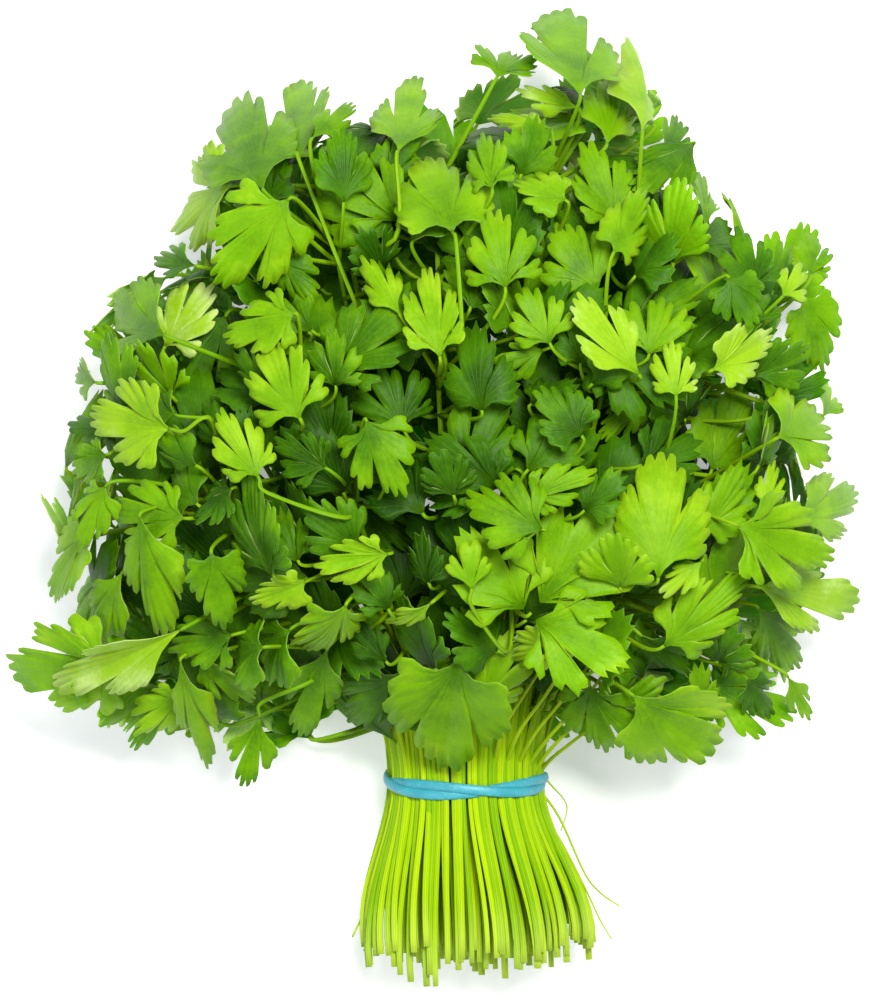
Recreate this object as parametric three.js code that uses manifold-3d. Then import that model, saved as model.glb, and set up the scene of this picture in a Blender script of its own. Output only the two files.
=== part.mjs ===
// A bunch of fresh coriander, lying on its back on a flat surface.
// Thin stems run from their cut ends through a doubled rubber band and fan out into a dense,
// rounded head of lobed and toothed leaves. Each sprig is two stems that grew together, with the
// leaves they carry, and is one solid. The band is another.
// Millimetres. X runs across the bunch, Y from the cut ends to the leaf tips, Z up.

import * as THREE from 'three';
import { mergeVertices } from 'three/addons/utils/BufferGeometryUtils.js';
import Module from 'manifold-3d';

const wasm = await Module();
wasm.setup();

// Scale and place of the photograph: the pixel at the middle of the rubber band is X 0, Y 0.
const MM_PER_PIXEL = 0.29;
const BAND_PIXEL = { x: 466, y: 780 };

// The head of leaves: a dome that narrows to the neck and is cut flat by the surface. Its outline,
// seen from above, is read from the photograph, as pixels from its centre at each angle in
// degrees, anticlockwise from the right.
const HEAD_CENTRE = new THREE.Vector3(-7.5, 110, 50);
const HEAD_HALF = { width: 120, length: 112, height: 60 };
const HEAD_OUTLINE = [
  [0, 390], [23, 412], [42, 350], [57, 405], [73, 410], [90, 290], [113, 350], [128, 367], [146, 331],
  [163, 350], [180, 365], [203, 425], [214, 500], [237, 430], [258, 347], [270, 355], [295, 380],
  [303, 437], [319, 470], [331, 452], [345, 436], [360, 390],
];
const NECK_TAPER = { from: -12, length: 76 };

// The stems, gathered in rings at the band.
const RINGS = [
  { count: 1, tilts: [0], depth: 0.6, drop: 0.9 },
  { count: 6, tilts: [27], depth: 0.66, drop: 0.9 },
  { count: 12, tilts: [50, 57], depth: 0.66, drop: 1 },
  { count: 18, tilts: [82, 110], depth: 0.64, drop: 1.35 },
];
const RING_PITCH = { x: 6.3, z: 5.5 };
const NECK_HEIGHT = 21.6;
const CUT_LENGTH = 50;
const CUT_RAGGED = 4;
const CUT_SLOPE = 0.14;
const CUT_HEIGHT = 22.6;
const CUT_SPREAD = { x: 1.62, z: 1.22 };
const CUT_SHIFT = 4;
const SKIRT_SHARE = 2 / 7;
const SKIRT_EASE = { x: 0.1, y: 0.62, z: 0.25, neck: 0.32 };
const STEM_RADIUS = 1.65;
const STEM_GAP = { neck: 0.9, cut: 1.8, crown: 1.6 };
const CROWN_TURN = 1.05;
const CROWN_RISE = 0.9;
const LOWEST_STEM = 5;
const CROWN_BEND = { sideways: 0.3, lengthwise: 0.36, neck: 0.34 };
const LONG_STEM = { sides: 4, steps: 7, end: 1 };
const SHORT_STEM = { sides: 3, steps: 5, end: 0.62 };

// The leaves. A lobe's angles are in degrees from the blade's own heading, and its reach is a
// share of the blade's length.
const BLADE_THICKNESS = 0.7;
const STALK_HALF_WIDTH = 0.65;
const FLOOR_GAP = 0.35;
const SINGLE_LOBES = [
  { centre: -56, spread: 15, reach: 0.86, teeth: 2 },
  { centre: 0, spread: 21, reach: 1, teeth: 2 },
  { centre: 56, spread: 15, reach: 0.86, teeth: 2 },
];
const SMALL_LOBES = [
  { centre: -60, spread: 0, reach: 0.82, teeth: 1 },
  { centre: 0, spread: 26, reach: 1, teeth: 3 },
  { centre: 60, spread: 0, reach: 0.82, teeth: 1 },
];
const TRIPLE_LOBES = [
  { centre: -82, spread: 21, reach: 0.82, teeth: 3 },
  { centre: 0, spread: 19, reach: 1, teeth: 3 },
  { centre: 82, spread: 21, reach: 0.82, teeth: 3 },
];
const NOTCH_BETWEEN_TEETH = 0.84;
const NOTCH_BETWEEN_LOBES = 0.56;
const NOTCH_BETWEEN_LEAFLETS = 0.2;
const LOBE_ROUNDING = 0.06;
const SMALL_LEAF = 22;
const ARCH = { least: 0.02, most: 0.12 };
const CUP = { least: -0.25, most: 0.2 };
const TWIST = { least: -0.12, most: 0.12 };
const STALK_BEND = 0.45;

// How far apart two pieces of different sprigs are kept, as a radius about each point tested.
const BLADE_ROOM = 1.75;
const STALK_ROOM = 1.2;
const STEM_ROOM = 2.1;
const SAMPLE_STEP = 2.4;
const CHAIN_STEP = 2;
const ROOT_ROOM = 6;
const MOST_ROOTS_TRIED = 12;
const HEIGHT_TRIES = [0, -2.5, 2.5, -5, 5, -7.5, 7.5, -10, -12.5, -15, -18, -21, -24, -28, -32, -37, -42];

// Where a stalk may leave its stem, in steps of the stem from its top, and how the choice is made.
const ROOT_STEPS = { first: 0.15, last: 3.2, gap: 0.4 };
const STALK_LENGTH = { least: 7, most: 78 };
const STALK_TURN = { mostSideways: 0.8, leastAhead: -0.5, leastForward: -0.2 };
const STALK_COST = { length: 1.5, forward: 0.5, leaf: 4 };

// How the leaves of the photograph follow the head, and how the others fill it.
const SHOWN = { slopeReach: 12, slopeShare: 0.6, roll: 0.3, droop: -4, rise: 5, steepest: 0.8 };
const FILL_DEPTHS = [0.95, 0.9, 0.84, 0.77, 0.7, 0.62];
const FILL_ATTEMPTS = 900;
const MOST_FILL_LEAVES = 40;
const FILL_PLACE = { lowest: -0.7, highest: 1, tilt: 0.004 };
const FILL_STRAY = { level: 0.7, upright: 0.5 };
const FILL_SIZE = { least: 24, most: 44, triple: 33, behind: 0.45, ahead: 0.55 };
const FILL_WIDTH = { triple: 1.45, single: 0.95 };

// The rubber band: two strands side by side that cross on top and underneath.
const BAND = { inner: 23, oval: 0.875, thick: 1.3, wide: 2.7, segments: 28 };
const BAND_SWAY = { amount: 1.7, turn: 0.5, slant: 2.4 };

// The leaves that show in the photograph, in pixels: where the blade starts, where it ends, how
// wide it is, and how many millimetres below the head's surface it lies.
const SHOWN_LEAVES = [
  // the crest and the top of the head
  { base: [575, 112], tip: [560, 8], width: 98, depth: 0 },
  { base: [635, 145], tip: [652, 50], width: 44, depth: 1 },
  { base: [602, 155], tip: [618, 80], width: 58, depth: 6 },
  { base: [575, 118], tip: [514, 95], width: 34, depth: 8 },
  { base: [690, 150], tip: [640, 188], width: 60, depth: 8 },
  { base: [662, 158], tip: [682, 118], width: 40, depth: 12 },
  { base: [695, 240], tip: [700, 162], width: 32, depth: 2 },
  { base: [610, 235], tip: [585, 150], width: 74, depth: 3 },
  { base: [605, 265], tip: [642, 200], width: 52, depth: 0 },
  { base: [628, 268], tip: [688, 236], width: 56, depth: 6 },
  { base: [545, 142], tip: [482, 118], width: 28, depth: 10 },
  { base: [490, 205], tip: [478, 145], width: 48, depth: 3 },
  { base: [452, 246], tip: [428, 160], width: 96, depth: 0 },
  { base: [400, 166], tip: [416, 85], width: 64, depth: 2 },
  { base: [316, 152], tip: [355, 110], width: 30, depth: 8 },
  { base: [305, 168], tip: [297, 76], width: 64, depth: 4 },
  { base: [270, 202], tip: [236, 98], width: 96, depth: 1 },
  { base: [236, 195], tip: [164, 216], width: 98, depth: 7 },
  { base: [296, 212], tip: [222, 296], width: 98, depth: 0 },
  { base: [205, 274], tip: [154, 262], width: 38, depth: 8 },
  // the left side
  { base: [176, 342], tip: [106, 306], width: 82, depth: 2 },
  { base: [172, 352], tip: [216, 290], width: 66, depth: 7 },
  { base: [232, 320], tip: [194, 396], width: 64, depth: 9 },
  { base: [302, 322], tip: [232, 348], width: 62, depth: 1 },
  { base: [286, 268], tip: [320, 308], width: 46, depth: 8 },
  { base: [106, 386], tip: [75, 372], width: 44, depth: 5 },
  { base: [182, 432], tip: [102, 420], width: 82, depth: 0 },
  { base: [122, 432], tip: [75, 425], width: 36, depth: 12 },
  { base: [268, 479], tip: [228, 413], width: 56, depth: 0 },
  { base: [246, 448], tip: [174, 490], width: 60, depth: 9 },
  { base: [118, 456], tip: [78, 472], width: 40, depth: 7 },
  { base: [118, 486], tip: [84, 544], width: 48, depth: 3 },
  { base: [100, 528], tip: [56, 584], width: 62, depth: 7 },
  { base: [152, 515], tip: [164, 640], width: 78, depth: 0 },
  { base: [132, 570], tip: [90, 642], width: 58, depth: 6 },
  // the lower left corner
  { base: [126, 662], tip: [17, 672], width: 94, depth: 6 },
  { base: [192, 624], tip: [64, 690], width: 56, depth: 0 },
  { base: [192, 688], tip: [140, 730], width: 48, depth: 8 },
  { base: [188, 655], tip: [206, 764], width: 40, depth: 3 },
  { base: [263, 712], tip: [247, 778], width: 46, depth: 6 },
  { base: [204, 648], tip: [256, 704], width: 50, depth: 9 },
  { base: [222, 550], tip: [236, 626], width: 60, depth: 3 },
  { base: [312, 578], tip: [258, 602], width: 46, depth: 7 },
  { base: [350, 600], tip: [320, 668], width: 70, depth: 2 },
  { base: [330, 645], tip: [300, 730], width: 52, depth: 8 },
  // the leaves over the neck
  { base: [458, 652], tip: [440, 766], width: 120, depth: 0 },
  { base: [402, 668], tip: [350, 726], width: 62, depth: 7 },
  { base: [556, 632], tip: [510, 664], width: 58, depth: 0 },
  { base: [470, 586], tip: [468, 540], width: 48, depth: 0 },
  { base: [432, 598], tip: [384, 634], width: 30, depth: 2 },
  { base: [392, 551], tip: [319, 562], width: 48, depth: 0 },
  // the middle of the head
  { base: [370, 424], tip: [402, 500], width: 74, depth: 1 },
  { base: [332, 470], tip: [281, 440], width: 58, depth: 8 },
  { base: [405, 432], tip: [384, 370], width: 86, depth: 13 },
  { base: [356, 500], tip: [420, 548], width: 46, depth: 9 },
  { base: [402, 324], tip: [364, 264], width: 38, depth: 2 },
  { base: [440, 366], tip: [426, 276], width: 60, depth: 1 },
  { base: [502, 300], tip: [490, 222], width: 74, depth: 3 },
  { base: [592, 300], tip: [552, 234], width: 84, depth: 1 },
  { base: [545, 352], tip: [520, 296], width: 62, depth: 5 },
  { base: [540, 356], tip: [497, 374], width: 44, depth: 8 },
  { base: [630, 382], tip: [566, 306], width: 62, depth: 0 },
  { base: [665, 402], tip: [661, 348], width: 46, depth: 0 },
  { base: [640, 362], tip: [652, 304], width: 72, depth: 6 },
  { base: [538, 528], tip: [462, 500], width: 84, depth: 0 },
  { base: [524, 498], tip: [590, 472], width: 46, depth: 3 },
  { base: [528, 504], tip: [520, 562], width: 56, depth: 6 },
  { base: [642, 394], tip: [598, 442], width: 44, depth: 4 },
  { base: [576, 440], tip: [532, 394], width: 62, depth: 7 },
  { base: [648, 576], tip: [656, 454], width: 98, depth: 0 },
  { base: [692, 558], tip: [654, 590], width: 30, depth: 3 },
  { base: [652, 574], tip: [614, 610], width: 46, depth: 8 },
  // the right side
  { base: [745, 296], tip: [728, 232], width: 58, depth: 4 },
  { base: [766, 296], tip: [780, 250], width: 48, depth: 8 },
  { base: [801, 282], tip: [809, 237], width: 38, depth: 3 },
  { base: [770, 304], tip: [796, 276], width: 38, depth: 1 },
  { base: [794, 300], tip: [822, 368], width: 60, depth: 4 },
  { base: [716, 286], tip: [744, 334], width: 62, depth: 5 },
  { base: [700, 376], tip: [764, 340], width: 60, depth: 1 },
  { base: [765, 440], tip: [824, 414], width: 84, depth: 2 },
  { base: [706, 472], tip: [738, 388], width: 78, depth: 4 },
  { base: [814, 420], tip: [832, 380], width: 30, depth: 9 },
  { base: [776, 524], tip: [863, 490], width: 58, depth: 5 },
  { base: [752, 512], tip: [766, 460], width: 32, depth: 8 },
  { base: [724, 524], tip: [819, 560], width: 86, depth: 0 },
  { base: [748, 584], tip: [849, 602], width: 70, depth: 4 },
  // the lower right corner
  { base: [655, 642], tip: [736, 580], width: 70, depth: 3 },
  { base: [750, 604], tip: [802, 668], width: 60, depth: 8 },
  { base: [628, 690], tip: [706, 752], width: 112, depth: 0 },
  { base: [586, 680], tip: [600, 753], width: 76, depth: 5 },
  { base: [740, 674], tip: [770, 714], width: 40, depth: 9 },
  { base: [780, 672], tip: [804, 716], width: 28, depth: 12 },
  { base: [600, 680], tip: [570, 624], width: 58, depth: 9 },
];

// Leaves pressed flat on the surface under the head, in millimetres. The bunch rests on them.
const RESTING_LEAVES = [
  { base: [-52, 52], tip: [-84, 34], width: 30 },
  { base: [40, 56], tip: [72, 44], width: 30 },
  { base: [-34, 150], tip: [-56, 178], width: 30 },
  { base: [24, 152], tip: [44, 182], width: 30 },
  { base: [-10, 92], tip: [-8, 126], width: 34 },
];

// Every draw comes from one seeded sequence, so that each build places the same leaves.
let seed = 20817;
function draw(low, high) {
  seed = (seed * 16807) % 2147483647;
  return low + ((high - low) * seed) / 2147483647;
}

const radians = THREE.MathUtils.degToRad;
const { clamp, lerp } = THREE.MathUtils;
const vector = (x, y, z) => new THREE.Vector3(x, y, z);
const along = (from, direction, distance) => from.clone().addScaledVector(direction, distance);
const LOWEST_BLADE = FLOOR_GAP + BLADE_THICKNESS / 2;

// 0 at the neck and 1 from a little way into the head.
function fullness(y) {
  const t = clamp((y - NECK_TAPER.from) / NECK_TAPER.length, 0, 1);
  return t * t * (3 - 2 * t);
}

// How far the head reaches from its centre in the direction of x, y.
function headReach(x, y) {
  const angle = (THREE.MathUtils.radToDeg(Math.atan2(y, x)) + 360) % 360;
  const after = HEAD_OUTLINE.findIndex(([limit]) => limit > angle);
  const [[a, near], [b, far]] = [HEAD_OUTLINE[after - 1], HEAD_OUTLINE[after]];
  return (near + ((far - near) * (angle - a)) / (b - a)) * MM_PER_PIXEL;
}

// The height of the head's upper surface above the point x, y.
function headTop(x, y) {
  const [across, lengthwise] = [x - HEAD_CENTRE.x, y - HEAD_CENTRE.y];
  const share = Math.hypot(across, lengthwise) / headReach(across, lengthwise);
  return HEAD_CENTRE.z + HEAD_HALF.height * Math.sqrt(Math.max(0, 1 - share * share)) * fullness(y);
}

// The place in the head at a share of the way from its centre to its skin.
function insideHead(outward, share) {
  const reach = headReach(outward.x, outward.y);
  const place = vector(outward.x * reach, outward.y * reach, outward.z * HEAD_HALF.height);
  place.multiplyScalar(share).add(HEAD_CENTRE);
  place.z = HEAD_CENTRE.z + (place.z - HEAD_CENTRE.z) * fullness(place.y);
  return place;
}

// A point of the photograph at a height z.
function fromPixel([x, y], z) {
  return vector((x - BAND_PIXEL.x) * MM_PER_PIXEL, (BAND_PIXEL.y - y) * MM_PER_PIXEL, z);
}

function cubic([a, b, c, d], t) {
  const s = 1 - t;
  return vector(0, 0, 0)
    .addScaledVector(a, s * s * s)
    .addScaledVector(b, 3 * s * s * t)
    .addScaledVector(c, 3 * s * t * t)
    .addScaledVector(d, t * t * t);
}

// A stem's centreline: the skirt from its cut end to the band, then the crown into the head.
class StemPath extends THREE.Curve {
  constructor(skirt, crown, end) {
    super();
    this.skirt = skirt;
    this.crown = crown;
    this.end = end;
  }

  getPoint(t) {
    const s = t * (SKIRT_SHARE + (1 - SKIRT_SHARE) * this.end);
    if (s < SKIRT_SHARE) return cubic(this.skirt, s / SKIRT_SHARE);
    return cubic(this.crown, (s - SKIRT_SHARE) / (1 - SKIRT_SHARE));
  }

  // The steps of the extrusion are even in t, not in length, so that one falls at the neck.
  getUtoTmapping(u) {
    return u;
  }
}

// The place inside the head that a sprig's main stem grows to, from its ring and its angle there.
function junctionOf(ring, index, angle) {
  const tilt = radians(ring.tilts[index % ring.tilts.length]);
  const sideways = Math.sin(tilt) * ring.depth;
  const rise = Math.sin(angle) * (Math.sin(angle) < 0 ? ring.drop : CROWN_RISE);
  return vector(
    HEAD_CENTRE.x + HEAD_HALF.width * sideways * Math.cos(angle),
    HEAD_CENTRE.y + HEAD_HALF.length * ring.depth * Math.cos(tilt),
    Math.max(LOWEST_STEM, HEAD_CENTRE.z + HEAD_HALF.height * sideways * rise),
  );
}

// One stem of a sprig, from the sprig's place in the bundle. The side, 1 or -1, says which of the
// two it is.
function makeStem(slot, angle, side, junction, form) {
  const offset = (gap, turn) => vector(-Math.sin(turn) * gap * side, 0, Math.cos(turn) * gap * side);
  const neck = vector(slot.x, 0, NECK_HEIGHT + slot.z).add(offset(STEM_GAP.neck, angle));
  const cut = vector(
    slot.x * CUT_SPREAD.x + CUT_SHIFT,
    -CUT_LENGTH + draw(-CUT_RAGGED, CUT_RAGGED) - slot.z * CUT_SLOPE,
    CUT_HEIGHT + slot.z * CUT_SPREAD.z,
  ).add(offset(STEM_GAP.cut, angle));
  const top = junction.clone().add(offset(STEM_GAP.crown, angle + CROWN_TURN));
  const reach = top.distanceTo(neck);
  const skirt = [
    cut,
    vector(lerp(cut.x, neck.x, SKIRT_EASE.x), cut.y * SKIRT_EASE.y, lerp(cut.z, neck.z, SKIRT_EASE.z)),
    along(neck, vector(0, -1, 0), CUT_LENGTH * SKIRT_EASE.neck),
    neck,
  ];
  const bend = top.clone().lerp(neck, CROWN_BEND.sideways);
  bend.y = top.y - reach * CROWN_BEND.lengthwise;
  const crown = [neck, along(neck, vector(0, 1, 0), reach * CROWN_BEND.neck), bend, top];
  const path = new StemPath(skirt, crown, form.end);
  const nodes = Array.from({ length: form.steps + 1 }, (_, i) => path.getPoint(i / form.steps));
  return { path, nodes, form };
}

// The bundle: rings of sprigs round the middle one, each of a long stem and a shorter one.
function makeSprigs() {
  const sprigs = [];
  RINGS.forEach((ring, level) => {
    for (let index = 0; index < ring.count; index++) {
      const angle = ((index + 0.5 * (level % 2)) / ring.count) * 2 * Math.PI;
      const slot = { x: level * RING_PITCH.x * Math.cos(angle), z: level * RING_PITCH.z * Math.sin(angle) };
      const junction = junctionOf(ring, index, angle);
      const stems = [
        makeStem(slot, angle, 1, junction, LONG_STEM),
        makeStem(slot, angle, -1, junction, SHORT_STEM),
      ];
      sprigs.push({ stems, leaves: [] });
    }
  });
  return sprigs;
}

// The lobed and toothed edge of a blade, from its right side round to its left, as distances
// across and along from the point where the blade starts.
function bladeEdge(leaf) {
  const points = [];
  leaf.lobes.forEach((lobe) => {
    for (let k = 0; k < lobe.teeth; k++) {
      const across = lobe.teeth === 1 ? 0 : (2 * k) / (lobe.teeth - 1) - 1;
      const angle = lobe.centre + lobe.spread * across;
      const reach = lobe.reach * (1 - LOBE_ROUNDING * across * across);
      if (points.length) {
        const before = points[points.length - 1];
        const between = leaf.lobes === TRIPLE_LOBES ? NOTCH_BETWEEN_LEAFLETS : NOTCH_BETWEEN_LOBES;
        const notch = k === 0 ? between : NOTCH_BETWEEN_TEETH;
        points.push({ angle: (before.angle + angle) / 2, reach: Math.min(before.reach, reach) * notch });
      }
      points.push({ angle, reach });
    }
  });
  const sideways = ({ angle, reach }) => -Math.sin(radians(angle)) * reach;
  const ahead = ({ angle, reach }) => Math.cos(radians(angle)) * reach;
  const broadest = Math.max(...points.map(sideways));
  const longest = Math.max(...points.map(ahead));
  return points.map((point) => ({
    u: ((sideways(point) / broadest) * leaf.width) / 2,
    v: (ahead(point) / longest) * leaf.length,
  }));
}

// A point of a leaf's arched blade.
function onBlade(leaf, u, v) {
  const lift = (leaf.cup * u * u - leaf.arch * v * v + leaf.twist * u * v) / leaf.length;
  const point = along(along(along(leaf.base, leaf.across, u), leaf.heading, v), leaf.normal, lift);
  point.z = Math.max(point.z, leaf.lowest);
  return point;
}

// A point of a leaf's stalk, from its root in a stem, 0, to the blade, 1.
function onStalk(leaf, t) {
  const s = 1 - t;
  const bend = along(leaf.base, leaf.heading, -STALK_BEND * leaf.stalkLength);
  const point = vector(0, 0, 0)
    .addScaledVector(leaf.root, s * s)
    .addScaledVector(bend, 2 * s * t)
    .addScaledVector(leaf.base, t * t);
  point.z = Math.max(point.z, leaf.lowest);
  return point;
}

// The triangles of a blade, as a fan round the point where it starts. The first two corners are
// shared with the stalk.
function bladeFan(leaf) {
  const w = STALK_HALF_WIDTH;
  const ring = [{ u: w, v: -w / 2 }, ...bladeEdge(leaf), { u: -w, v: -w / 2 }];
  return { centre: onBlade(leaf, 0, 0), ring: ring.map(({ u, v }) => onBlade(leaf, u, v)) };
}

// The room that is taken, as points with a radius in a grid of cubes. A point of a stem or stalk
// names its sprig, whose own leaves may touch it near their root. A point of a blade names none.
const CELL = 2 * STEM_ROOM;
const taken = new Map();
const cellOf = (value) => Math.floor(value / CELL);
const cellName = (i, j, k) => (i * 4096 + j) * 4096 + k;

function take(points) {
  for (const point of points) {
    const name = cellName(cellOf(point.at.x), cellOf(point.at.y), cellOf(point.at.z));
    if (!taken.has(name)) taken.set(name, []);
    taken.get(name).push(point);
  }
}

function isTaken(point, root) {
  const [i, j, k] = [cellOf(point.at.x), cellOf(point.at.y), cellOf(point.at.z)];
  for (let a = i - 1; a <= i + 1; a++) {
    for (let b = j - 1; b <= j + 1; b++) {
      for (let c = k - 1; c <= k + 1; c++) {
        for (const other of taken.get(cellName(a, b, c)) ?? []) {
          if (root && root.sprig === other.sprig && root.at.distanceTo(other.at) < ROOT_ROOM) continue;
          const room = other.room + point.room;
          if (other.at.distanceToSquared(point.at) < room * room) return true;
        }
      }
    }
  }
  return false;
}

// Points evenly along a chain of corners.
function chainPoints(corners, room, sprig) {
  const points = [];
  for (let i = 0; i + 1 < corners.length; i++) {
    const count = Math.ceil(corners[i].distanceTo(corners[i + 1]) / CHAIN_STEP);
    for (let k = 0; k <= count; k++) {
      points.push({ at: corners[i].clone().lerp(corners[i + 1], k / count), room, sprig });
    }
  }
  return points;
}

// Points evenly over the triangles of a blade.
function bladePoints(leaf) {
  const points = [];
  const { centre, ring } = bladeFan(leaf);
  for (let i = 0; i + 1 < ring.length; i++) {
    const [a, b] = [ring[i], ring[i + 1]];
    const longest = Math.max(centre.distanceTo(a), centre.distanceTo(b), a.distanceTo(b));
    const count = Math.ceil(longest / SAMPLE_STEP);
    for (let j = 1; j <= count; j++) {
      const start = centre.clone().lerp(a, j / count);
      const end = centre.clone().lerp(b, j / count);
      const steps = Math.max(1, Math.ceil(start.distanceTo(end) / SAMPLE_STEP));
      for (let k = 0; k <= steps; k++) {
        points.push({ at: start.clone().lerp(end, k / steps), room: BLADE_ROOM });
      }
    }
  }
  return points;
}

function stalkCorners(leaf) {
  return [leaf.root, onStalk(leaf, 0.5), leaf.base];
}

// A leaf from its blade's two ends, its width and its roll about the line between them.
function makeLeaf(base, tip, width, roll, lobes, lowest) {
  const heading = tip.clone().sub(base);
  const length = heading.length();
  heading.normalize();
  const across = heading.clone().cross(vector(0, 0, 1)).normalize();
  const normal = across.clone().cross(heading);
  const rolled = along(across.clone().multiplyScalar(Math.cos(roll)), normal, Math.sin(roll));
  return {
    base,
    heading,
    across: rolled,
    normal: rolled.clone().cross(heading),
    length,
    width,
    lobes,
    lowest,
    arch: draw(ARCH.least, ARCH.most),
    cup: draw(CUP.least, CUP.most),
    twist: draw(TWIST.least, TWIST.most),
  };
}

// The points of the stems that a leaf could grow from, the best first.
function rootsFor(leaf, sprigs) {
  const found = [];
  sprigs.forEach((sprig, index) => {
    for (const { nodes, form } of sprig.stems) {
      const lowest = form.steps - ROOT_STEPS.last;
      for (let place = form.steps - ROOT_STEPS.first; place > lowest; place -= ROOT_STEPS.gap) {
        const step = Math.floor(place);
        const direction = nodes[step + 1].clone().sub(nodes[step]).normalize();
        const at = nodes[step].clone().lerp(nodes[step + 1], place - step);
        const stalk = leaf.base.clone().sub(at);
        const length = stalk.length();
        if (length < STALK_LENGTH.least || length > STALK_LENGTH.most) continue;
        stalk.normalize();
        const forward = stalk.dot(direction);
        if (Math.abs(stalk.dot(leaf.across)) > STALK_TURN.mostSideways) continue;
        if (stalk.dot(leaf.heading) < STALK_TURN.leastAhead || forward < STALK_TURN.leastForward) continue;
        const reach = length * (STALK_COST.length - forward * STALK_COST.forward);
        found.push({ sprig: index, at, cost: reach + STALK_COST.leaf * sprig.leaves.length });
      }
    }
  });
  return found.sort((a, b) => a.cost - b.cost).slice(0, MOST_ROOTS_TRIED);
}

// Gives the leaf to a sprig if its blade and its stalk are clear of everything else.
function grow(leaf, sprigs) {
  const blade = bladePoints(leaf);
  if (blade.some((point) => isTaken(point))) return false;
  for (const root of rootsFor(leaf, sprigs)) {
    leaf.root = root.at;
    leaf.stalkLength = root.at.distanceTo(leaf.base);
    const stalk = chainPoints(stalkCorners(leaf), STALK_ROOM, root.sprig);
    if (stalk.some((point) => isTaken(point, root))) continue;
    take(blade);
    take(stalk);
    sprigs[root.sprig].leaves.push(leaf);
    return true;
  }
  return false;
}

// A leaf of the photograph. It tries its own height first, then heights above and below.
function growShownLeaf(shown, sprigs) {
  const middle = fromPixel([(shown.base[0] + shown.tip[0]) / 2, (shown.base[1] + shown.tip[1]) / 2], 0);
  const side = vector(shown.base[1] - shown.tip[1], shown.base[0] - shown.tip[0], 0).normalize();
  const left = along(middle, side, -SHOWN.slopeReach);
  const right = along(middle, side, SHOWN.slopeReach);
  const slope = Math.atan2(headTop(right.x, right.y) - headTop(left.x, left.y), 2 * SHOWN.slopeReach);
  const roll = SHOWN.slopeShare * slope + draw(-SHOWN.roll, SHOWN.roll);
  const lean = draw(SHOWN.droop, SHOWN.rise);
  for (const rise of HEIGHT_TRIES) {
    const base = fromPixel(shown.base, 0);
    const tip = fromPixel(shown.tip, 0);
    base.z = headTop(base.x, base.y) - shown.depth + rise;
    tip.z = headTop(tip.x, tip.y) - shown.depth + rise + lean;
    const steepest = base.distanceTo(tip) * SHOWN.steepest;
    tip.z = clamp(tip.z, base.z - steepest, base.z + steepest);
    const width = shown.width * MM_PER_PIXEL;
    const kept = seed;
    const lobes = base.distanceTo(tip) < SMALL_LEAF ? SMALL_LOBES : SINGLE_LOBES;
    if (grow(makeLeaf(base, tip, width, roll, lobes, LOWEST_BLADE), sprigs)) return true;
    seed = kept;
  }
  return false;
}

function growRestingLeaf(resting, sprigs) {
  const height = BLADE_THICKNESS / 2;
  const base = vector(resting.base[0], resting.base[1], height);
  const tip = vector(resting.tip[0], resting.tip[1], height);
  const leaf = makeLeaf(base, tip, resting.width, 0, SINGLE_LOBES, height);
  Object.assign(leaf, { arch: 0, cup: 0, twist: 0 });
  return grow(leaf, sprigs);
}

// A leaf that faces out of the head at a drawn place, as near its surface as there is room.
function growFillLeaf(sprigs) {
  const turn = draw(0, 2 * Math.PI);
  const lengthwise = draw(FILL_PLACE.lowest, FILL_PLACE.highest);
  const sideways = Math.sqrt(1 - lengthwise * lengthwise);
  const outward = vector(sideways * Math.cos(turn), lengthwise, sideways * Math.sin(turn));
  const facing = vector(
    outward.x / HEAD_HALF.width + draw(-FILL_PLACE.tilt, FILL_PLACE.tilt),
    outward.y / HEAD_HALF.length + draw(-FILL_PLACE.tilt, FILL_PLACE.tilt),
    outward.z / HEAD_HALF.height + draw(-FILL_PLACE.tilt, FILL_PLACE.tilt),
  ).normalize();
  const size = draw(FILL_SIZE.least, FILL_SIZE.most);
  const lobes = size > FILL_SIZE.triple ? TRIPLE_LOBES : SINGLE_LOBES;
  const stray = vector(
    draw(-FILL_STRAY.level, FILL_STRAY.level),
    draw(-FILL_STRAY.level, FILL_STRAY.level),
    draw(-FILL_STRAY.upright, FILL_STRAY.upright),
  );
  for (const depth of FILL_DEPTHS) {
    const middle = insideHead(outward, depth);
    const heading = middle.clone().sub(vector(0, 0, NECK_HEIGHT)).normalize().add(stray);
    heading.addScaledVector(facing, -heading.dot(facing)).normalize();
    const base = along(middle, heading, -size * FILL_SIZE.behind);
    const tip = along(middle, heading, size * FILL_SIZE.ahead);
    base.z = Math.max(base.z, LOWEST_BLADE + 1);
    tip.z = Math.max(tip.z, LOWEST_BLADE);
    const flat = heading.clone().cross(vector(0, 0, 1)).normalize();
    const roll = Math.atan2(-flat.dot(facing), flat.clone().cross(heading).dot(facing));
    const kept = seed;
    const width = size * (lobes === TRIPLE_LOBES ? FILL_WIDTH.triple : FILL_WIDTH.single);
    if (grow(makeLeaf(base, tip, width, roll, lobes, LOWEST_BLADE), sprigs)) return true;
    seed = kept;
  }
  return false;
}

function clearSolidOf(geometry) {
  geometry.deleteAttribute('normal');
  geometry.deleteAttribute('uv');
  const merged = mergeVertices(geometry, 1e-4);
  return new wasm.Manifold(
    new wasm.Mesh({
      numProp: 3,
      vertProperties: merged.getAttribute('position').array,
      triVerts: new Uint32Array(merged.index.array),
    }),
  );
}

function stemSolid({ path, form }) {
  const corners = Array.from({ length: form.sides }, (_, i) => {
    const turn = (i / form.sides) * 2 * Math.PI;
    return new THREE.Vector2(STEM_RADIUS * Math.cos(turn), STEM_RADIUS * Math.sin(turn));
  });
  const options = { steps: form.steps, bevelEnabled: false, extrudePath: path };
  return clearSolidOf(new THREE.ExtrudeGeometry(new THREE.Shape(corners), options));
}

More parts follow.
